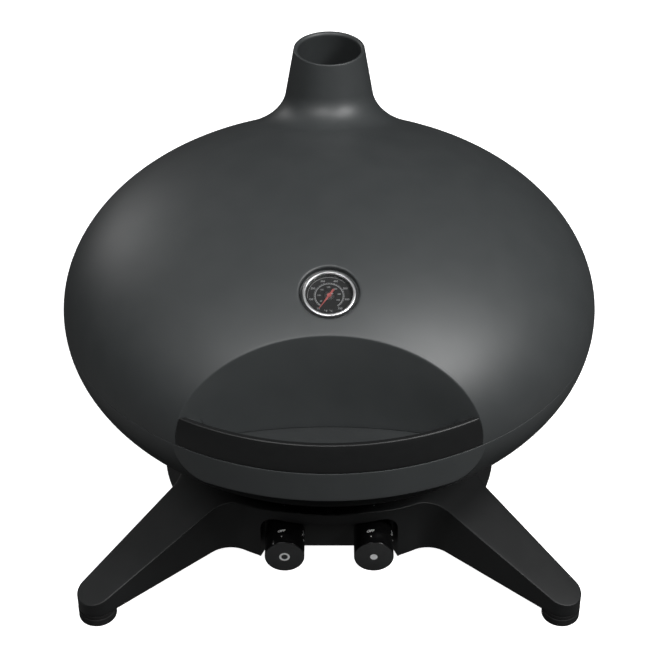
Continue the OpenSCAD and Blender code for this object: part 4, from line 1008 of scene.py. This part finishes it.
# brightness of the surround from straight down, at 0, to straight up, at 1
surroundStops = ((0.0, 0.0), (0.08, 0.02), (0.175, 0.24), (0.3, 0.2), (0.4, 0.08), (0.5, 0.01), (1.0, 0.01))


def makeFloor():
    r = floorForm["half"]
    mesh = bpy.data.meshes.new("studio_floor")
    mesh.from_pydata([(-r, -r, 0), (r, -r, 0), (r, r, 0), (-r, r, 0)], [], [(0, 1, 2, 3)])
    floor = bpy.data.objects.new("studio_floor", mesh)
    finish = makeFinish("floor_paint", (0.86, 0.86, 0.86), (0.88, 0.88, 0.88), (0.8, 0.9), 0, 3, 200, 0, specular=0.1)
    tree = finish.node_tree
    # it is bright by itself, but in shade inside the drum
    place = addNode(tree, "TexCoord", {}).outputs["Object"]
    reach = addNode(tree, "VectorMath", {"Vector": place})
    split = addNode(tree, "SeparateXYZ", {"Vector": place})
    shade = addNode(tree, "Math", {})
    reach.operation, shade.operation = "LENGTH", "MAXIMUM"
    for k, (source, limits) in enumerate(((reach.outputs["Value"], "shadeR"), (split.outputs["Y"], "shadeY"))):
        near, far = floorForm[limits]
        ramp = addNode(tree, "MapRange", {"Value": source, "From Min": near, "From Max": far})
        tree.links.new(ramp.outputs["Result"], shade.inputs[k])
    fillNode(tree, tree.nodes["Principled BSDF"],
             {"Emission Color": (1, 1, 1, 1), "Emission Strength": shade.outputs["Value"]})
    mesh.materials.append(finish)
    scene.collection.objects.link(floor)
    floor.visible_diffuse = False  # the photograph's grill gets little light from below
    floor.visible_glossy = False


def softbox(name, azimuth, elevation, width, power):
    az, el = math.radians(azimuth), math.radians(elevation)
    light = bpy.data.lights.new(name, "AREA")
    light.shape = "RECTANGLE"
    light.size = light.size_y = width
    light.energy = power
    lamp = bpy.data.objects.new(name, light)
    away = Vector((math.sin(az) * math.cos(el), -math.cos(az) * math.cos(el), math.sin(el)))
    lamp.location = lightAim + away * lightAway
    lamp.rotation_euler = away.to_track_quat("Z", "Y").to_euler()
    scene.collection.objects.link(lamp)


def makeSurround():
    # sheen of the pale table in glossy faces, and a dim room above it
    world = bpy.data.worlds.new("studio_surround")
    world.use_nodes = True
    tree = world.node_tree
    where = addNode(tree, "TexCoord", {})
    split = addNode(tree, "SeparateXYZ", {"Vector": where.outputs["Generated"]})
    lift = addNode(tree, "MapRange", {"Value": split.outputs["Z"], "From Min": -1, "From Max": 1})
    fade = addNode(tree, "ValToRGB", {"Fac": lift.outputs["Result"]})
    spots = fade.color_ramp.elements
    while len(spots) < len(surroundStops):
        spots.new(0.5)
    for spot, (at, value) in zip(spots, surroundStops):
        spot.position, spot.color = at, (value, value, value, 1)
    rear = addNode(tree, "MapRange", {"Value": split.outputs["Y"], "From Min": 0.1, "From Max": 0.6,
                                      "To Min": 1.0, "To Max": 0.15})  # the table is darker behind the grill
    fillNode(tree, tree.nodes["Background"], {"Color": fade.outputs["Color"], "Strength": rear.outputs["Result"]})
    scene.world = world
    world.cycles_visibility.diffuse = False


makeFloor()
for name, setting in softboxes.items():
    softbox(name, *setting)
makeSurround()
scene.view_settings.view_transform = "Standard"

view = {"lens": 94.03, "sensor": 36.0, "shift": 3.3 / 665, "far": 50, "place": (0, -1.4095, 1.2631), "tilt": 52.3}
lens = bpy.data.cameras.new("photo_camera")
lens.lens, lens.sensor_width = view["lens"], view["sensor"]
lens.shift_x = view["shift"]
lens.clip_end = view["far"]
camera = bpy.data.objects.new("photo_camera", lens)
camera.location = view["place"]
camera.rotation_euler = (math.radians(view["tilt"]), 0, 0)
scene.collection.objects.link(camera)
scene.camera = camera
print("studio lit")

bpy.context.view_layer.update()
